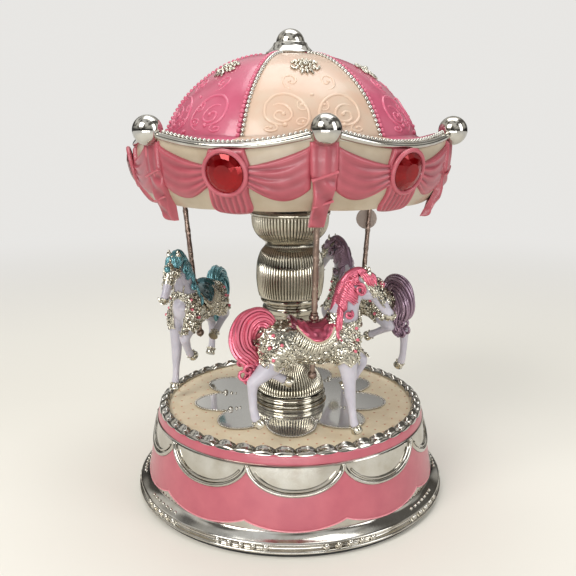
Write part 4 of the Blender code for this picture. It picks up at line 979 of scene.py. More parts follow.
def build_dome():
    dome = Shape()
    rows = []
    count = 360
    for k in range(count):
        degrees = CORNER_TURN + CORNER_STEP / 2 + 360 * k / count
        steps = len(DOME_LINE) - 1
        outer = [dome_point(degrees, i / steps, 0) for i in range(steps + 1)]
        rim_r, rim_z = rim_at(degrees)
        brim = [polar(rim_r - 2.4, degrees, rim_z - 0.2),
                polar((rim_r + DOME_SIDE[0][0]) / 2, degrees, rim_z * 0.45 + 76.0),
                polar(48.2, degrees, 137.3)]
        inner = [polar(46.5, degrees, 136.0), polar(44.5, degrees, 137.6), polar(38.0, degrees, 149.4),
                 polar(26.0, degrees, 159.0), polar(7.9, degrees, 164.6)]
        under = [polar(rim_r - 2.6, degrees, rim_z - 1.4)]
        rows.append(brim + outer + inner[::-1] + under)

    def gore(row):
        # the gore over the front ball is cream
        return 0 if int(row * CORNERS / count) % 2 else 1

    dome.grid(rows, wrap_rows=True, wrap_columns=True, finish=gore)
    dome.piece("dome_gores", [M["cream"], M["rose"]], "carousel", ["canopy_dome"], "cream", sharp=50)

    beads, rose_beads = Shape(), Shape()
    for k in range(CORNERS):
        seam = corner_angle(k + 0.5)
        toward_cream = 1 if k % 2 else -1
        for shape, side in ((beads, toward_cream), (rose_beads, -toward_cream)):
            line = []
            for i in range(61):
                t = 0.02 + 0.93 * i / 60
                line.append(dome_point(seam + side * math.degrees(0.72 / dome_radius(t)), t, 0.2))
            for at in spaced(line, 1.7):
                shape.ball(at, 0.80, level=2)
    beads.piece("dome_seam_beads", [M["chrome"]], "carousel", slot="chrome")
    rose_beads.piece("dome_seam_beads_rose", [M["rose"]], "carousel", slot="cream")
    build_scrolls()
    build_emblems()


def spiral(centre, radius, start, turns, shrink=0.2, steps=44):
    """Flat spiral in (sideways mm, up mm) that winds in towards its centre."""
    made = []
    for i in range(steps + 1):
        share = i / steps
        r = radius * (1 - (1 - shrink) * share)
        a = math.radians(start) + TAU * turns * share
        made.append((centre[0] + r * math.cos(a), centre[1] + r * math.sin(a)))
    return made


def build_scrolls():
    """Low scroll ornament on each gore, mirrored about its middle."""
    motifs = (
        (spiral((9.8, 12.6), 9.0, 250, -0.95, 0.55), 0.44),
        (spiral((10.6, 12.2), 4.4, 60, 1.25, 0.22), 0.38),
        (spiral((4.2, 8.8), 2.5, 200, -1.15, 0.25), 0.32),
        (spiral((14.6, 5.6), 3.0, 90, 1.1, 0.25), 0.32),
        (spiral((6.0, 24.6), 3.2, 270, 1.2, 0.2), 0.32),
        (spiral((3.3, 15.6), 2.2, 90, -1.1, 0.3), 0.28),
    )
    length = sum(math.hypot(b[0] - a[0], b[1] - a[1]) for a, b in zip(DOME_LINE, DOME_LINE[1:]))
    shapes = {"cream": Shape(), "rose": Shape()}
    for k in range(CORNERS):
        middle = corner_angle(k)
        shape = shapes["cream" if k % 2 == 0 else "rose"]
        for line, thick in motifs:
            for side in (-1, 1):
                path, radii = [], []
                for i, (x, y) in enumerate(line):
                    t = min(0.95, y / length)
                    path.append(dome_point(middle + side * math.degrees(x / dome_radius(t)), t, -0.14))
                    end = min(i, len(line) - 1 - i) / 6
                    radii.append(thick * (0.75 + 0.55 * min(1.0, end)))
                shape.tube(path, radii, 8)
                shape.ball(path[-1], thick * 2.0, level=1)
        for y, r in ((3.2, 0.8), (19.4, 0.55)):
            shape.ball(dome_point(middle, y / length, 0.0), r, level=2)
    for name, shape in shapes.items():
        shape.piece("dome_scrolls_" + name, [M[name]], "carousel", slot="cream", sharp=60)


def build_emblems():
    emblems = Shape()
    heart = 0.615
    radius = dome_radius(heart)
    for k in range(CORNERS):
        middle = corner_angle(k)

        def at(x, y, lift, middle=middle):
            return dome_point(middle + math.degrees(x / radius), heart + y / 44, lift)

        emblems.ball(at(0, 0, 0.8), 1.0, level=2)
        for ring, (count, wide, tall, size) in enumerate(((8, 1.75, 1.5, 0.62), (13, 3.2, 2.5, 0.55))):
            for i in range(count):
                a = TAU * (i + 0.5 * ring) / count
                emblems.ball(at(wide * math.cos(a), tall * math.sin(a), 0.45), size, level=2)
        for side in (-1, 1):
            for start, rise in ((2.4, 0.9), (2.6, -0.7)):
                curl = [at(side * (start + 2.0 * t), rise + 1.0 * math.sin(t * 3.0) * math.copysign(1, rise),
                           0.4)
                        for t in np.linspace(0, 1, 12)]
                emblems.tube(curl, [0.5 - 0.2 * i / 12 for i in range(12)], 8)
                emblems.ball(curl[-1], 0.55, level=1)
        for x in (-1.3, 0.0, 1.3):
            emblems.tube([at(x * (1 + 0.4 * t), -2.2 - 1.5 * t, 0.4) for t in np.linspace(0, 1, 6)],
                         [0.5, 0.5, 0.45, 0.4, 0.3, 0.18], 8)
    emblems.piece("dome_emblems", [M["filigree"]], "carousel", slot="chrome")


def build_finial():
    collar = Shape()
    profile = [(0.4, 164.0), (7.5, 164.0), (7.5, 166.6), (9.1, 166.75), (9.25, 167.1), (8.9, 167.7),
               (8.2, 168.1), (7.6, 168.7), (7.0, 169.3), (6.5, 169.9), (6.25, 170.5), (6.05, 171.0),
               (5.75, 171.15), (5.55, 170.9), (5.3, 169.7), (4.4, 168.0), (2.8, 166.6), (0.4, 166.0)]
    collar.lathe(profile, 96)
    collar.piece("finial_cup", [M["chrome"]], "carousel", ["finial_collar"], "chrome", sharp=50)
    ball = Shape()
    ball.ball((0, 0, FINIAL_Z), FINIAL_R, level=3)
    ball.piece("finial_knob", [M["chrome"]], "carousel", ["finial_ball"], "chrome", sharp=80)


# --- poles ---------------------------------------------------------------------------------------
def pole_point(rider, height):
    top = cad("pole_1", 2, 1)
    return Vector(polar(POLE_TOP_OUT - POLE_LEAN * (top - height), RIDER_TURN + 120 * rider, height))


def build_poles():
    for rider in range(3):
        shape = Shape()
        top, bottom = cad("pole_1", 2, 1), cad("pole_1", 2, 0) + 1.6
        line = [pole_point(rider, bottom + (top - bottom) * i / 160) for i in range(161)]
        rows = []
        axis = (line[-1] - line[0]).normalized()
        u = axis.orthogonal().normalized()
        v = axis.cross(u)
        for i, at in enumerate(line):
            row = []
            for j in range(12):
                a = TAU * j / 12
                knurl = 0.10 if int(i / 9) % 3 == 0 else 0.02
                radius = 1.02 + knurl * math.cos(4 * a + i * 0.9) + 0.05 * math.cos(2 * (a - i * 0.16))
                row.append(at + (u * math.cos(a) + v * math.sin(a)) * radius)
            rows.append(row)
        shape.grid(rows, wrap_columns=True, caps=True)
        shape.ball(pole_point(rider, bottom + 0.3), 1.65, level=2)
        shape.ball(pole_point(rider, bottom - 1.0), 0.6, level=1)
        for z, radius, tall in ((78.0, 1.7, 0.9), (79.4, 1.35, 0.6), (112.6, 1.5, 0.8)):
            shape.tube([pole_point(rider, z + tall * step) for step in (-1, -0.5, 0, 0.5, 1)],
                       [radius * 0.7, radius, radius * 1.05, radius, radius * 0.7], 16)
        shape.piece("pole_twist_%d" % (rider + 1), [M["pole"]], "carousel", ["pole_%d" % (rider + 1)],
                    "chrome")


# --- horses --------------------------------------------------------------------------------------
# Each chain is a run of balls: forward of the pole, to the outside, height, radius, width share.
HORSE_BODY = (
    ((-13.6, 0, 70.0, 6.6, 0.92), (-9, 0, 69.6, 7.1, 0.92), (-3, 0, 69.0, 6.6, 0.90), (3, 0, 68.8, 6.7, 0.90),
     (8.0, 0, 69.6, 7.0, 0.88), (10.8, 0, 70.4, 6.0, 0.84)),
    ((9.6, 0, 72.5, 6.4, 0.80), (10.4, 0, 77.5, 5.4, 0.74), (11.4, 0, 82.0, 4.6, 0.70),
     (13.4, 0, 86.2, 3.9, 0.68), (16.4, 0, 88.8, 3.3, 0.70)),
    ((17.6, 0, 89.2, 3.2, 0.78), (20.6, 0, 86.6, 3.0, 0.78), (23.2, 0, 83.0, 2.3, 0.80),
     (25.4, 0, 79.6, 1.85, 0.84), (26.8, 0, 77.8, 1.8, 0.86)),
    ((19.4, 1.0, 85.8, 2.5, 0.7), (18.2, 1.0, 85.4, 2.1, 0.7)),
    ((19.4, -1.0, 85.8, 2.5, 0.7), (18.2, -1.0, 85.4, 2.1, 0.7)),
    # near foreleg, straight
    ((10.6, 3.0, 66.5, 4.6, 0.85), (11.6, 3.5, 60.0, 3.1, 0.9), (12.1, 3.6, 54.5, 2.2, 1),
     (12.4, 3.6, 50.7, 2.0, 1), (13.1, 3.6, 46.0, 1.45, 1), (13.7, 3.6, 41.6, 1.4, 1),
     (14.1, 3.6, 39.8, 1.6, 1), (14.8, 3.6, 37.9, 1.5, 1)),
    # far foreleg, lifted and folded
    ((11.4, -3.0, 66.0, 4.4, 0.85), (14.4, -3.5, 63.2, 3.0, 0.9), (18.2, -3.6, 60.7, 2.3, 1),
     (18.4, -3.6, 59.4, 2.0, 1), (16.4, -3.6, 55.4, 1.5, 1), (14.6, -3.6, 52.6, 1.5, 1),
     (12.6, -3.6, 51.4, 1.5, 1)),
    # near hind leg
    ((-12.0, 3.0, 68.0, 5.4, 0.85), (-14.8, 3.5, 63.2, 3.9, 0.9), (-18.8, 3.6, 59.4, 2.7, 1),
     (-21.4, 3.6, 57.2, 2.1, 1), (-21.6, 3.6, 53.4, 1.6, 1), (-21.3, 3.6, 47.8, 1.45, 1),
     (-20.6, 3.6, 44.6, 1.6, 1), (-19.4, 3.6, 42.8, 1.5, 1)),
    # far hind leg, lifted and folded forward
    ((-12.0, -3.0, 68.0, 5.4, 0.85), (-15.4, -3.5, 64.2, 3.7, 0.9), (-18.6, -3.6, 61.8, 2.6, 1),
     (-19.8, -3.6, 60.8, 2.1, 1), (-16.6, -3.6, 58.9, 1.6, 1), (-12.6, -3.6, 56.8, 1.45, 1),
     (-10.0, -3.6, 55.4, 1.6, 1), (-8.2, -3.6, 54.4, 1.5, 1)),
)
GIRTH_Z = 68.4
HOOF_REACH = 2.3
HOOVES = ((14.9, 3.6, 37.7), (12.4, -3.6, 51.3), (-19.3, 3.6, 42.6), (-7.2, -3.6, 53.8))


def voxel_skin(chains, voxel=0.42, smooths=4):
    """One smooth skin over chains of balls."""
    shape = Shape()
    for chain in chains:
        for start, end in zip(chain, chain[1:]):
            a, b = np.array(start), np.array(end)
            steps = max(2, int(np.linalg.norm(b[:3] - a[:3]) / 0.7))
            for i in range(steps + 1):
                x, y, z, r, wide = a + (b - a) * i / steps
                shape.ball((x, y, z), r, level=2, stretch=(1, wide, 1))
    form = bpy.data.objects.new("form", shape.mesh("form"))
    bpy.context.collection.objects.link(form)
    skin = form.modifiers.new("skin", "REMESH")
    skin.mode = "VOXEL"
    skin.voxel_size = voxel * MM
    soften = form.modifiers.new("soften", "SMOOTH")
    soften.iterations = smooths
    bpy.context.view_layer.update()
    mesh = bpy.data.meshes.new_from_object(form.evaluated_get(bpy.context.evaluated_depsgraph_get()))
    bpy.data.objects.remove(form, do_unlink=True)
    return mesh


class Horse:
    """The casting in its own frame, with ways to lay ornament on its skin."""

    def __init__(self):
        self.skin = voxel_skin(HORSE_BODY)
        points = np.empty(len(self.skin.vertices) * 3)
        self.skin.vertices.foreach_get("co", points)
        self.points = points.reshape(-1, 3) / MM
        self.faces = [tuple(face.vertices) for face in self.skin.polygons]
        self.tree = BVHTree.FromPolygons([Vector(p) for p in self.points], self.faces)

    def on_side(self, s, z, side, lift=0.0, fallback=2.0):
        """Skin point seen from one side, at a place along and up."""
        hit, normal, _, _ = self.tree.ray_cast(Vector((s, side * 30, z)), Vector((0, -side, 0)))
        if hit is None:
            near, normal, _, _ = self.tree.find_nearest(Vector((s, side * fallback, z)))
            hit = Vector((near.x, near.y, near.z))
        return hit + normal * lift

    def on_top(self, s, y, lift=0.0):
        hit, normal, _, _ = self.tree.ray_cast(Vector((s, y, 110)), Vector((0, 0, -1)))
        if hit is None:
            return Vector((s, y, 76))
        return hit + normal * lift


def horse_skin_shape(horse):
    shape = Shape()
    shape.add(horse.points, horse.faces)
    centres = [sum((Vector(horse.points[i]) for i in face), Vector()) / len(face) for face in horse.faces]
    for index, centre in enumerate(centres):
        near = min((centre - Vector(h)).length for h in HOOVES)
        if near < HOOF_REACH:
            shape.finish[index] = 1
    return shape, centres


def in_blanket(c):
    """Where the silver caparison covers the body."""
    low = 62.4 + 0.7 * math.sin(c.x * 1.5) + (1.6 if c.x < -15 else 0.0)
    if not low < c.z < 79.5 or c.x < -20.5:
        return False
    if c.x > 9.5:
        collar = abs(c.z - 76.8 + 0.5 * abs(c.y)) < 1.5
        return collar or abs(c.y) > 2.6 and c.z < 76.5
    return c.x < 11.4 - (c.z - 74) * 0.55


HEAD_TOP = (17.6, 91.2)
HEAD_LEAN = math.radians(34)


def in_headstall(c):
    """Front of the face, from between the ears to above the muzzle."""
    x, z = c.x - HEAD_TOP[0], c.z - HEAD_TOP[1]
    front = x * math.cos(HEAD_LEAN) + z * math.sin(HEAD_LEAN)
    down = x * math.sin(HEAD_LEAN) - z * math.cos(HEAD_LEAN)
    return front > (-1.6 if down < 7.5 else 0.1) and -2.0 < down < 11.2


def shell_over(horse, centres, inside, lift, rough, shape):
    """Raised, closed crust over the part of the skin that lies inside a region."""
    faces = [face for face, centre in zip(horse.faces, centres) if inside(centre)]
    used = sorted({i for face in faces for i in face})
    order = {old: new for new, old in enumerate(used)}
    normals = np.empty(len(horse.skin.vertices) * 3)
    horse.skin.vertices.foreach_get("normal", normals)
    normals = normals.reshape(-1, 3)
    edges = {}
    for face in faces:
        for a, b in zip(face, face[1:] + face[:1]):
            key = (min(a, b), max(a, b))
            edges[key] = None if key in edges else (a, b)
    border = {i for pair in edges.values() if pair for i in pair}
    top, bottom = [], []
    for i in used:
        p, n = Vector(horse.points[i]), Vector(normals[i])
        wave = noise.noise(p * 1.3) + noise.noise(p * 2.8)
        rise = lift + rough * max(-0.6, wave) * (0.25 if i in border else 1.0)
        top.append(p + n * rise)
        bottom.append(p - n * 0.25)
    count = len(used)
    made = [tuple(order[i] for i in face) for face in faces]
    made += [tuple(order[i] + count for i in face)[::-1] for face in faces]
    made += [(order[b], order[a], order[a] + count, order[b] + count)
             for pair in edges.values() if pair for a, b in (pair,)]
    shape.add([tuple(p) for p in top + bottom], made)
    return [(top[order[face[0]]], Vector(normals[face[0]])) for face in faces]


def under_saddle(p):
    """True where the saddle and its fringe lie, so that the filigree keeps off them."""
    if not -10.0 < p.x < 8.8:
        return False
    middle = (p.x + 0.6) / 9.2
    return p.z > 66.8 + 7.6 * middle * middle


def scatter_filigree(shape, spots, count, seed):
    """Little scrolls, leaves and beads that stand up from the silver parts."""
    draw = random.Random(seed)
    for at, normal in draw.sample(spots, min(count, len(spots))):
        if under_saddle(at) and abs(at.y) > 1:
            continue
        kind = draw.random()
        turn = normal.to_track_quat("Z", "Y").to_matrix() @ Matrix.Rotation(draw.uniform(0, TAU), 3, "Z")
        if kind < 0.35:
            shape.ball(at, draw.uniform(0.28, 0.50), level=1)
        elif kind < 0.70:
            leaf = [at + turn @ Vector((x, 0.25 * x * x, 0.12)) for x in (-0.8, -0.3, 0.3, 0.8)]
            shape.tube(leaf, [0.12, 0.34, 0.34, 0.10], 5)
        else:
            radius = draw.uniform(0.5, 0.8)
            sweep = [at + turn @ Vector((radius * math.cos(a), radius * math.sin(a), 0.18))
                     for a in np.linspace(0.3, 5.2, 9)]
            shape.tube(sweep, 0.22, 5)


CREST = ((17.6, 93.2), (15.0, 93.9), (12.2, 92.6), (9.8, 89.6),
         (8.2, 85.8), (7.0, 81.8), (6.2, 77.8), (6.6, 74.6))


def build_mane(horse, shape):
    """Bundles of combed strands that fall from the crest over both sides of the neck."""
    crest = smooth_line([(s, 0, z) for s, z in CREST], 6)
    bundles, strands = 9, 5
    for i in range(bundles):
        for k in range(strands):
            share = (i + (k - 2) * 0.19 + 0.45) / bundles
            share = min(1.0, max(0.0, share))
            root = crest[int(share * (len(crest) - 1))]
            long = 6.4 + 1.5 * math.sin(i * 2.3) - 0.35 * abs(k - 2)
            lean = 0.72 - 0.42 * share + 0.16 * math.sin(i * 1.9)
            for side in (-1, 1):
                path = []
                for step in range(9):
                    t = step / 8
                    bend = 0.75 * math.sin(t * 3.6 + i * 1.1)
                    s = root.x + long * lean * t + bend
                    z = root.z - long * (1 - 0.3 * lean) * t
                    swell = 1.0 * math.sin(math.pi * min(1, t * 1.15)) + 0.25 * (2 - abs(k - 2))
                    skin = horse.on_side(s, z, side, 0.25 + 0.55 * swell, 3.0)
                    start = Vector((s, side * 0.8, z + 0.2))
                    path.append(start.lerp(skin, min(1.0, t * 2.4)))
                fine = smooth_line(path, 3)
                radii = [0.56 * (1 - 0.75 * (n / len(fine)) ** 3) for n in range(len(fine))]
                shape.tube(fine, radii, 7)
    shape.tube([Vector((p.x + 0.3, 0, p.z - 0.2)) for p in crest],
               [0.9 + 0.5 * math.sin(math.pi * k / len(crest)) for k in range(len(crest))], 10)
    for side in (-1, 1):
        for (s, z), radius, start, turn in (((15.2, 87.4), 2.0, 120, -1.6), ((12.6, 91.4), 1.5, 30, 1.3),
                                            ((11.0, 79.2), 1.4, 60, -1.3)):
            curl = []
            for i, (x, w) in enumerate(spiral((s, z), radius, start, turn, 0.15, 24)):
                curl.append(horse.on_side(x, w, side, 1.0 + 0.03 * i, 2.4))
            shape.tube(curl, taper(0.62, 0.35, len(curl)), 8)
    for side, end in ((-1, 0.6), (0, 0.0), (1, -0.4)):
        lock = smooth_line([(16.6, side * 0.5, 93.2), (18.6, side * 0.7, 93.0),
                            (20.0, side * 0.8, 91.8 + end), (20.6, side * 0.6, 90.9 + end)], 5)
        shape.tube(lock, taper(0.6, 0.6, len(lock)), 8)


TAIL = ((-14.8, 73.6), (-16.4, 77.0), (-19.2, 78.3), (-22.4, 76.6), (-24.3, 72.6), (-24.2, 68.6),
        (-22.0, 65.0), (-20.4, 61.6), (-21.0, 58.4), (-22.6, 56.8))


def build_tail(shape):
    """Heavy S-shaped tail of twisted locks that ends in curls."""
    spine = smooth_line([(s, 0, z) for s, z in TAIL], 8)
    count = len(spine)
    bundles, strands = 6, 6
    for k in range(bundles):
        for j in range(strands):
            path, radii = [], []
            for i, at in enumerate(spine):
                t = i / (count - 1)
                ahead = spine[min(i + 1, count - 1)] - spine[max(i - 1, 0)]
                tangent = ahead.normalized()
                side = Vector((0, 1, 0))
                up = tangent.cross(side)
                spread = 0.6 + 1.9 * math.sin(math.pi * min(1.0, 0.12 + t * 0.93)) ** 0.7
                a = TAU * k / bundles + 3.4 * t
                b = TAU * j / strands + 2.2 * t + k
                ring = 0.72 + 0.5 * math.sin(math.pi * t)
                wide, tall = math.cos(a) * spread * 0.8, math.sin(a) * spread * 1.15
                wide += math.cos(b) * ring
                tall += math.sin(b) * ring
                path.append(at + side * wide + up * tall)
                radii.append((0.42 + 0.22 * math.sin(math.pi * t)) * (1 - 0.4 * t ** 3))
            shape.tube(path, radii, 6)
    shape.tube(spine, [1.0 + 1.3 * math.sin(math.pi * i / count) for i in range(count)], 10)
    for s, z, radius, start, turn, y in ((-24.2, 59.6, 2.4, 40, -1.3, 1.8),
                                         (-20.6, 59.8, 2.2, 160, 1.3, -1.4),
                                         (-22.4, 57.4, 1.8, 90, 1.35, 0.8), (-20.2, 62.6, 1.9, 60, -1.2, 2.2),
                                         (-22.6, 61.4, 2.0, 20, 1.2, 2.6), (-24.6, 62.4, 1.5, 0, 1.2, -1.8)):
        curl = [Vector((x, y + 0.25 * math.sin(i * 0.3), w))
                for i, (x, w) in enumerate(spiral((s, z), radius, start, turn, 0.2, 26))]
        shape.tube(curl, taper(0.66, 0.4, len(curl)), 8)


SADDLE_LOWER = ((-8.8, 78.2), (-6.6, 75.0), (-3.9, 72.4), (-0.6, 70.7), (2.6, 70.9), (5.0, 72.6), (6.8, 75.2))
SADDLE_UPPER = ((-8.2, 78.8), (-5.6, 77.0), (-3.0, 75.4), (-0.4, 74.4), (2.0, 74.4), (4.0, 75.2), (6.0, 76.4))


def build_saddle(horse, leather, edging, silver):
    lower = smooth_line([(s, 0, z) for s, z in SADDLE_LOWER], 6)
    upper = smooth_line([(s, 0, z) for s, z in SADDLE_UPPER], 6)
    for side in (-1, 1):
        def flap(u, v, lift, side=side):
            at = u * (len(lower) - 1)
            i = min(int(at), len(lower) - 2)
            a = lower[i].lerp(lower[i + 1], at - i)
            b = upper[i].lerp(upper[i + 1], at - i)
            p = a.lerp(b, v)
            return horse.on_side(p.x, p.z, side, 0.7 + lift, 4.0)

        def tooling(u, v):
            return 0.22 * math.sin(u * 26) * math.sin(v * 9)

        leather.slab(flap, 44, 12, 0.95, sink=0.6, edge=0.16, relief=tooling)
        edge = [horse.on_side(p.x, p.z, side, 1.15, 4.0) for p in lower]
        edging.tube(edge, 0.42, 8)
        for i, p in enumerate(spaced(lower, 0.72)):
            if p.z > 75.0:
                continue
            long = 2.5 + 0.35 * math.sin(i * 2.1)
            slant = -0.28 + 0.03 * p.x
            path = [horse.on_side(p.x + slant * k, p.z - 0.4 - long * k / 4, side, 1.15 + 0.15 * math.sin(k),
                                  4.0)
                    for k in range(5)]
            silver.tube(path, [0.26, 0.36, 0.36, 0.32, 0.2], 6)

    def seat(u, v, lift):
        s = -8.4 + 13.4 * u
        y = (v - 0.5) * 2 * 4.2
        rise = 1.9 * math.exp(-((s + 8.4) / 2.2) ** 2) + 0.5 * math.exp(-((s - 4.6) / 1.4) ** 2)
        return horse.on_top(s, y, 0.4) + Vector((0, 0, lift * 0.8 + rise))

    leather.slab(seat, 30, 16, 1.0, sink=1.6, edge=0.16)


REIN = ((24.6, 80.6), (23.2, 82.2), (21.6, 84.6), (20.6, 86.4), (18.4, 88.6))


def build_tack(horse, silver, stones, lustre, dark):
    """Ears, headstall, collar and rump stones."""
    for side in (-1, 1):
        ear = smooth_line([(18.0, side * 1.5, 91.4), (18.4, side * 1.9, 92.8), (18.6, side * 2.0, 94.0),
                           (18.6, side * 1.8, 95.0)], 4)
        taper = len(ear) - 1
        silver.tube(ear, [1.15 * (1 - (k / taper) ** 2.2) + 0.08 for k in range(len(ear))], 8, flat=0.6)
        cheek = horse.on_side(20.6, 86.4, side, 0.55, 2.0)
        silver.ball(cheek, 1.0, level=2, stretch=(1, 0.55, 1))
        for i in range(10):
            a = TAU * i / 10
            silver.ball(horse.on_side(20.6 + 1.45 * math.cos(a), 86.4 + 1.45 * math.sin(a), side, 0.45, 2.0),
                        0.3)
        dark.ball(horse.on_side(21.6, 88.0, side, 0.2, 1.6), 0.5, level=2)
        nostril = horse.on_side(27.3, 77.6, side, -0.05, 1.2)
        dark.ball(nostril, 0.26)
        for s, z in ((-14.6, 73.4), (-15.6, 69.6), (-14.8, 66.0), (-12.2, 70.6)):
            stones.ball(horse.on_side(s, z, side, 1.0, 4.0), 0.66, level=2)
        for s, z in ((13.4, 74.4), (13.8, 70.6), (12.6, 67.2)):
            stones.ball(horse.on_side(s, z, side, 1.0, 3.0), 0.6, level=2)
        rein = [horse.on_side(s, z, side, 0.4, 2.0) for s, z in REIN]
        silver.tube(smooth_line(rein, 5), 0.32, 6)
        collar = [horse.on_side(s, z, side, 0.5, 2.5) for s, z in ((15.0, 80.0), (15.2, 77.0), (15.2, 74.0))]
        for at in spaced(smooth_line(collar, 5), 0.8):
            silver.ball(at, 0.42)
    lustre.ball((23.8, 0, 88.2), 1.25, level=2)
    for i in range(10):
        a = TAU * i / 10
        silver.ball((23.6, 1.55 * math.cos(a), 88.2 + 1.55 * math.sin(a)), 0.36)
    for i, (s, z) in enumerate(((19.6, 92.4), (21.2, 91.4), (22.6, 90.2))):
        silver.ball((s, 0, z), 0.62 - 0.06 * i, level=2)
    for leg in HORSE_BODY[5:]:
        ankle, toe = Vector(leg[-2][:3]), Vector(leg[-1][:3])
        along = (toe - ankle).normalized()
        hoof = [toe + along * reach for reach in (-1.3, -0.9, 0.2, 1.2, 1.5)]
        silver.tube(hoof, [1.5, 1.75, 1.95, 2.15, 1.9], 14)
        across = along.orthogonal().normalized()
        beside = along.cross(across)
        for i in range(9):
            a = TAU * i / 9
            silver.ball(toe - along * 1.1 + (across * math.cos(a) + beside * math.sin(a)) * 1.8, 0.42)


def to_world(mesh, rider):
    """Turn a mesh from the horse's own frame to its place on the ride."""
    angle = math.radians(RIDER_TURN + 120 * rider)
    forward = Vector((math.cos(angle), math.sin(angle), 0))
    out = Vector((math.sin(angle), -math.cos(angle), 0))
    turn = Matrix((forward, out, Vector((0, 0, 1)))).transposed().to_4x4()
    seat = pole_point(rider, GIRTH_Z)
    mesh.transform(Matrix.Translation(Vector((seat.x, seat.y, 0)) * MM) @ turn)
    mesh.flip_normals()


BLANKET_MOTIFS, FACE_MOTIFS = 950, 60


def build_horses():
    horse = Horse()
    skin, centres = horse_skin_shape(horse)
    silver, lustre, edging, stones, dark = Shape(), Shape(), Shape(), Shape(), Shape()
    spots = shell_over(horse, centres, in_blanket, 0.5, 0.26, silver)
    head_spots = shell_over(horse, centres, in_headstall, 0.2, 0.12, silver)
    scatter_filigree(silver, spots, BLANKET_MOTIFS, 3)
    scatter_filigree(silver, head_spots, FACE_MOTIFS, 5)
    build_mane(horse, lustre)
    build_tail(lustre)
    build_saddle(horse, lustre, edging, silver)
    build_tack(horse, silver, stones, lustre, dark)
    for rider, name in enumerate(("coat_pink", "coat_violet", "coat_teal")):
        number = rider + 1
        coat_slot = "horse_" + name[5:]
        parts = (("horse_skin", skin, [M["horse"], M["filigree"]], ("horse_%d" % number,), coat_slot),
                 ("horse_silver", silver, [M["filigree"]], (), "chrome"),
                 ("horse_mane_tail", lustre, [M[name]], (), coat_slot),
                 ("horse_piping", edging, [M["ivory"]], (), "cream"),
                 ("horse_stones", stones, [M["pink_stone"]], (), coat_slot),
                 ("horse_eyes", dark, [M["eye"]], (), "felt"))
        for label, shape, finish, gone, slot in parts:
            piece_name = "%s_%d" % (label, number)
            mesh = shape.mesh(piece_name)
            to_world(mesh, rider)
            add_piece(piece_name, mesh, finish, "carousel", gone, 60)


# --- the CAD nodes that stay --------------------------------------------------------------------
def dress_cad_nodes():
    finishes = {
        "steel": ("cover_screw_1", "cover_screw_2", "cover_screw_3", "mainspring", "winding_arbor",
                  "drive_shaft", "cylinder_pinion", "steel_comb", "comb_screw_1", "comb_screw_2",
                  "governor_wheel", "governor_worm"),
        "brass": ("movement_bedplate", "spring_barrel", "winding_key", "shaft_gear", "music_cylinder",
                  "cylinder_gear", "cylinder_post_inner", "cylinder_post_outer", "comb_block", "governor_fan",
                  "governor_frame"),
        "cover": ("bottom_cover",),
        "hub": ("canopy_hub",),
    }
    for finish, names in finishes.items():
        for name in names:
            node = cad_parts[name]
            for place in node.material_slots:
                place.material = M[finish]


# --- stage ----------------------------------------------------------------------------------------
WALL = (0.806, 0.794, 0.772, 1)
FLOOR_HALF = 3000
FADE_FROM, FADE_TO = 0.12, 0.75  # metres from the object
WORLD_STRENGTH = 0.62
# height in the surroundings, from straight down to straight up, and how light they are there
HORIZON_GREYS = ((0.46, 0.40), (0.50, 0.05), (0.56, 0.10), (0.62, 0.55), (0.78, 1.0))
CAMERA_LENS = 43.33
CAMERA_PLACE = (0, -0.2674, 0.1381)
CAMERA_DOWN, CAMERA_TURN = 12.44, 0.185


def fading_floor():
    """Pale floor that melts into the colour of the backdrop away from the object."""
    made = finish_material("studio_floor", linear(232, 229, 220), 0.6, 0.0, vary=0.01, grain=12, bump=0.02,
                           bump_scale=60)
    graph = Graph(made)
    glow = graph.node("Emission", {"Color": WALL})
    reach = graph.node("VectorMath", operation="LENGTH")
    graph.join(graph.node("NewGeometry").outputs["Position"], reach.inputs[0])
    fade = graph.node("MapRange", {"From Min": FADE_FROM, "From Max": FADE_TO},
                      interpolation_type="SMOOTHSTEP")
    graph.join(reach.outputs["Value"], fade.inputs["Value"])
    blend = graph.node("MixShader")
    finish = graph.nodes["Material Output"].inputs["Surface"]
    surface = finish.links[0].from_socket
    graph.join(fade.outputs["Result"], blend.inputs["Fac"])
    graph.join(surface, blend.inputs[1])
    graph.join(glow.outputs["Emission"], blend.inputs[2])
    graph.join(blend.outputs["Shader"], finish)
    return made


def soft_light(name, place, target_height, power, size, colour=(1, 1, 1)):
    data = bpy.data.lights.new(name, "AREA")
    data.energy = power
    data.shape = "RECTANGLE"
    data.size, data.size_y = size
    data.color = colour
    lamp = bpy.data.objects.new(name, data)
    bpy.context.collection.objects.link(lamp)
    lamp.location = place
    aim = Vector((0, 0, target_height)) - Vector(place)
    lamp.rotation_euler = aim.to_track_quat("-Z", "Y").to_euler()


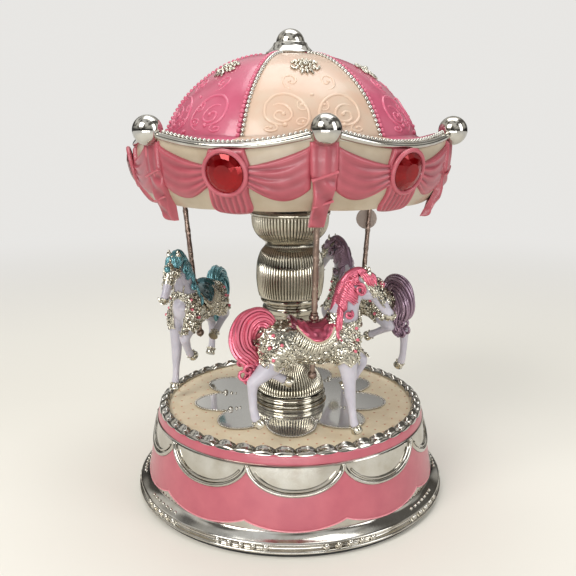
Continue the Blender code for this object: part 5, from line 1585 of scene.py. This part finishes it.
def build_world():
    """Pale wall to the camera; in reflections, a dim horizon and a few soft window shapes."""
    world = bpy.data.worlds.new("studio")
    bpy.context.scene.world = world
    graph = Graph(world)
    background = graph.nodes["Background"]
    where = graph.node("TexCoord").outputs["Generated"]
    split = graph.node("SeparateXYZ")
    graph.join(where, split.inputs["Vector"])
    scale = graph.node("MapRange", {"From Min": -1})
    graph.join(split.outputs["Z"], scale.inputs["Value"])
    height = graph.ramp(scale.outputs["Result"], 0.0, 1.0, (0.50, 0.48, 0.44), (0.95, 0.96, 0.98))
    for position, grey in HORIZON_GREYS:
        height.node.color_ramp.elements.new(position).color = (grey, grey * 0.98, grey * 0.94, 1)
    panes = graph.ramp(graph.noise(where, 2.3, 1), 0.44, 0.54, (0.10, 0.09, 0.08), (1.4, 1.4, 1.38))
    reflected = graph.mix(height, panes, 0.85, "MULTIPLY")
    wall = tuple(c / WORLD_STRENGTH for c in WALL[:3]) + (1,)
    seen = graph.node("LightPath").outputs["Is Camera Ray"]
    graph.join(graph.mix(reflected, wall, seen), background.inputs["Color"])
    background.inputs["Strength"].default_value = WORLD_STRENGTH


def build_stage():
    floor = Shape()
    floor.add([(x * FLOOR_HALF, y * FLOOR_HALF, 0) for x, y in ((-1, -1), (1, -1), (1, 1), (-1, 1))],
              [(0, 1, 2, 3)])
    mesh = floor.mesh("floor")
    mesh.materials.append(fading_floor())
    ground = bpy.data.objects.new("floor", mesh)
    bpy.context.collection.objects.link(ground)

    soft_light("key", (-0.45, -0.50, 0.62), 0.08, 3.9, (0.40, 0.40), (1.0, 0.98, 0.95))
    soft_light("fill", (0.62, -0.35, 0.40), 0.08, 1.7, (0.30, 0.6), (0.97, 0.98, 1.0))
    soft_light("top", (0.05, 0.15, 0.80), 0.1, 2.2, (0.6, 0.4))
    soft_light("low", (-0.05, -0.60, 0.05), 0.07, 1.1, (0.6, 0.08))
    build_world()


def build_camera():
    data = bpy.data.cameras.new("camera")
    data.lens = CAMERA_LENS
    data.sensor_width = 36
    data.clip_start = 0.01
    camera = bpy.data.objects.new("camera", data)
    bpy.context.collection.objects.link(camera)
    camera.location = CAMERA_PLACE
    camera.rotation_euler = (math.radians(90 - CAMERA_DOWN), 0, math.radians(CAMERA_TURN))
    bpy.context.scene.camera = camera


def main():
    build_camera()
    build_stage()
    build_foot()
    build_drum()
    build_floor()
    build_column()
    build_skirt()
    build_rim()
    build_dome()
    build_finial()
    build_poles()
    build_horses()
    dress_cad_nodes()
    bpy.context.scene.view_settings.view_transform = "Standard"


main()
bpy.context.view_layer.update()
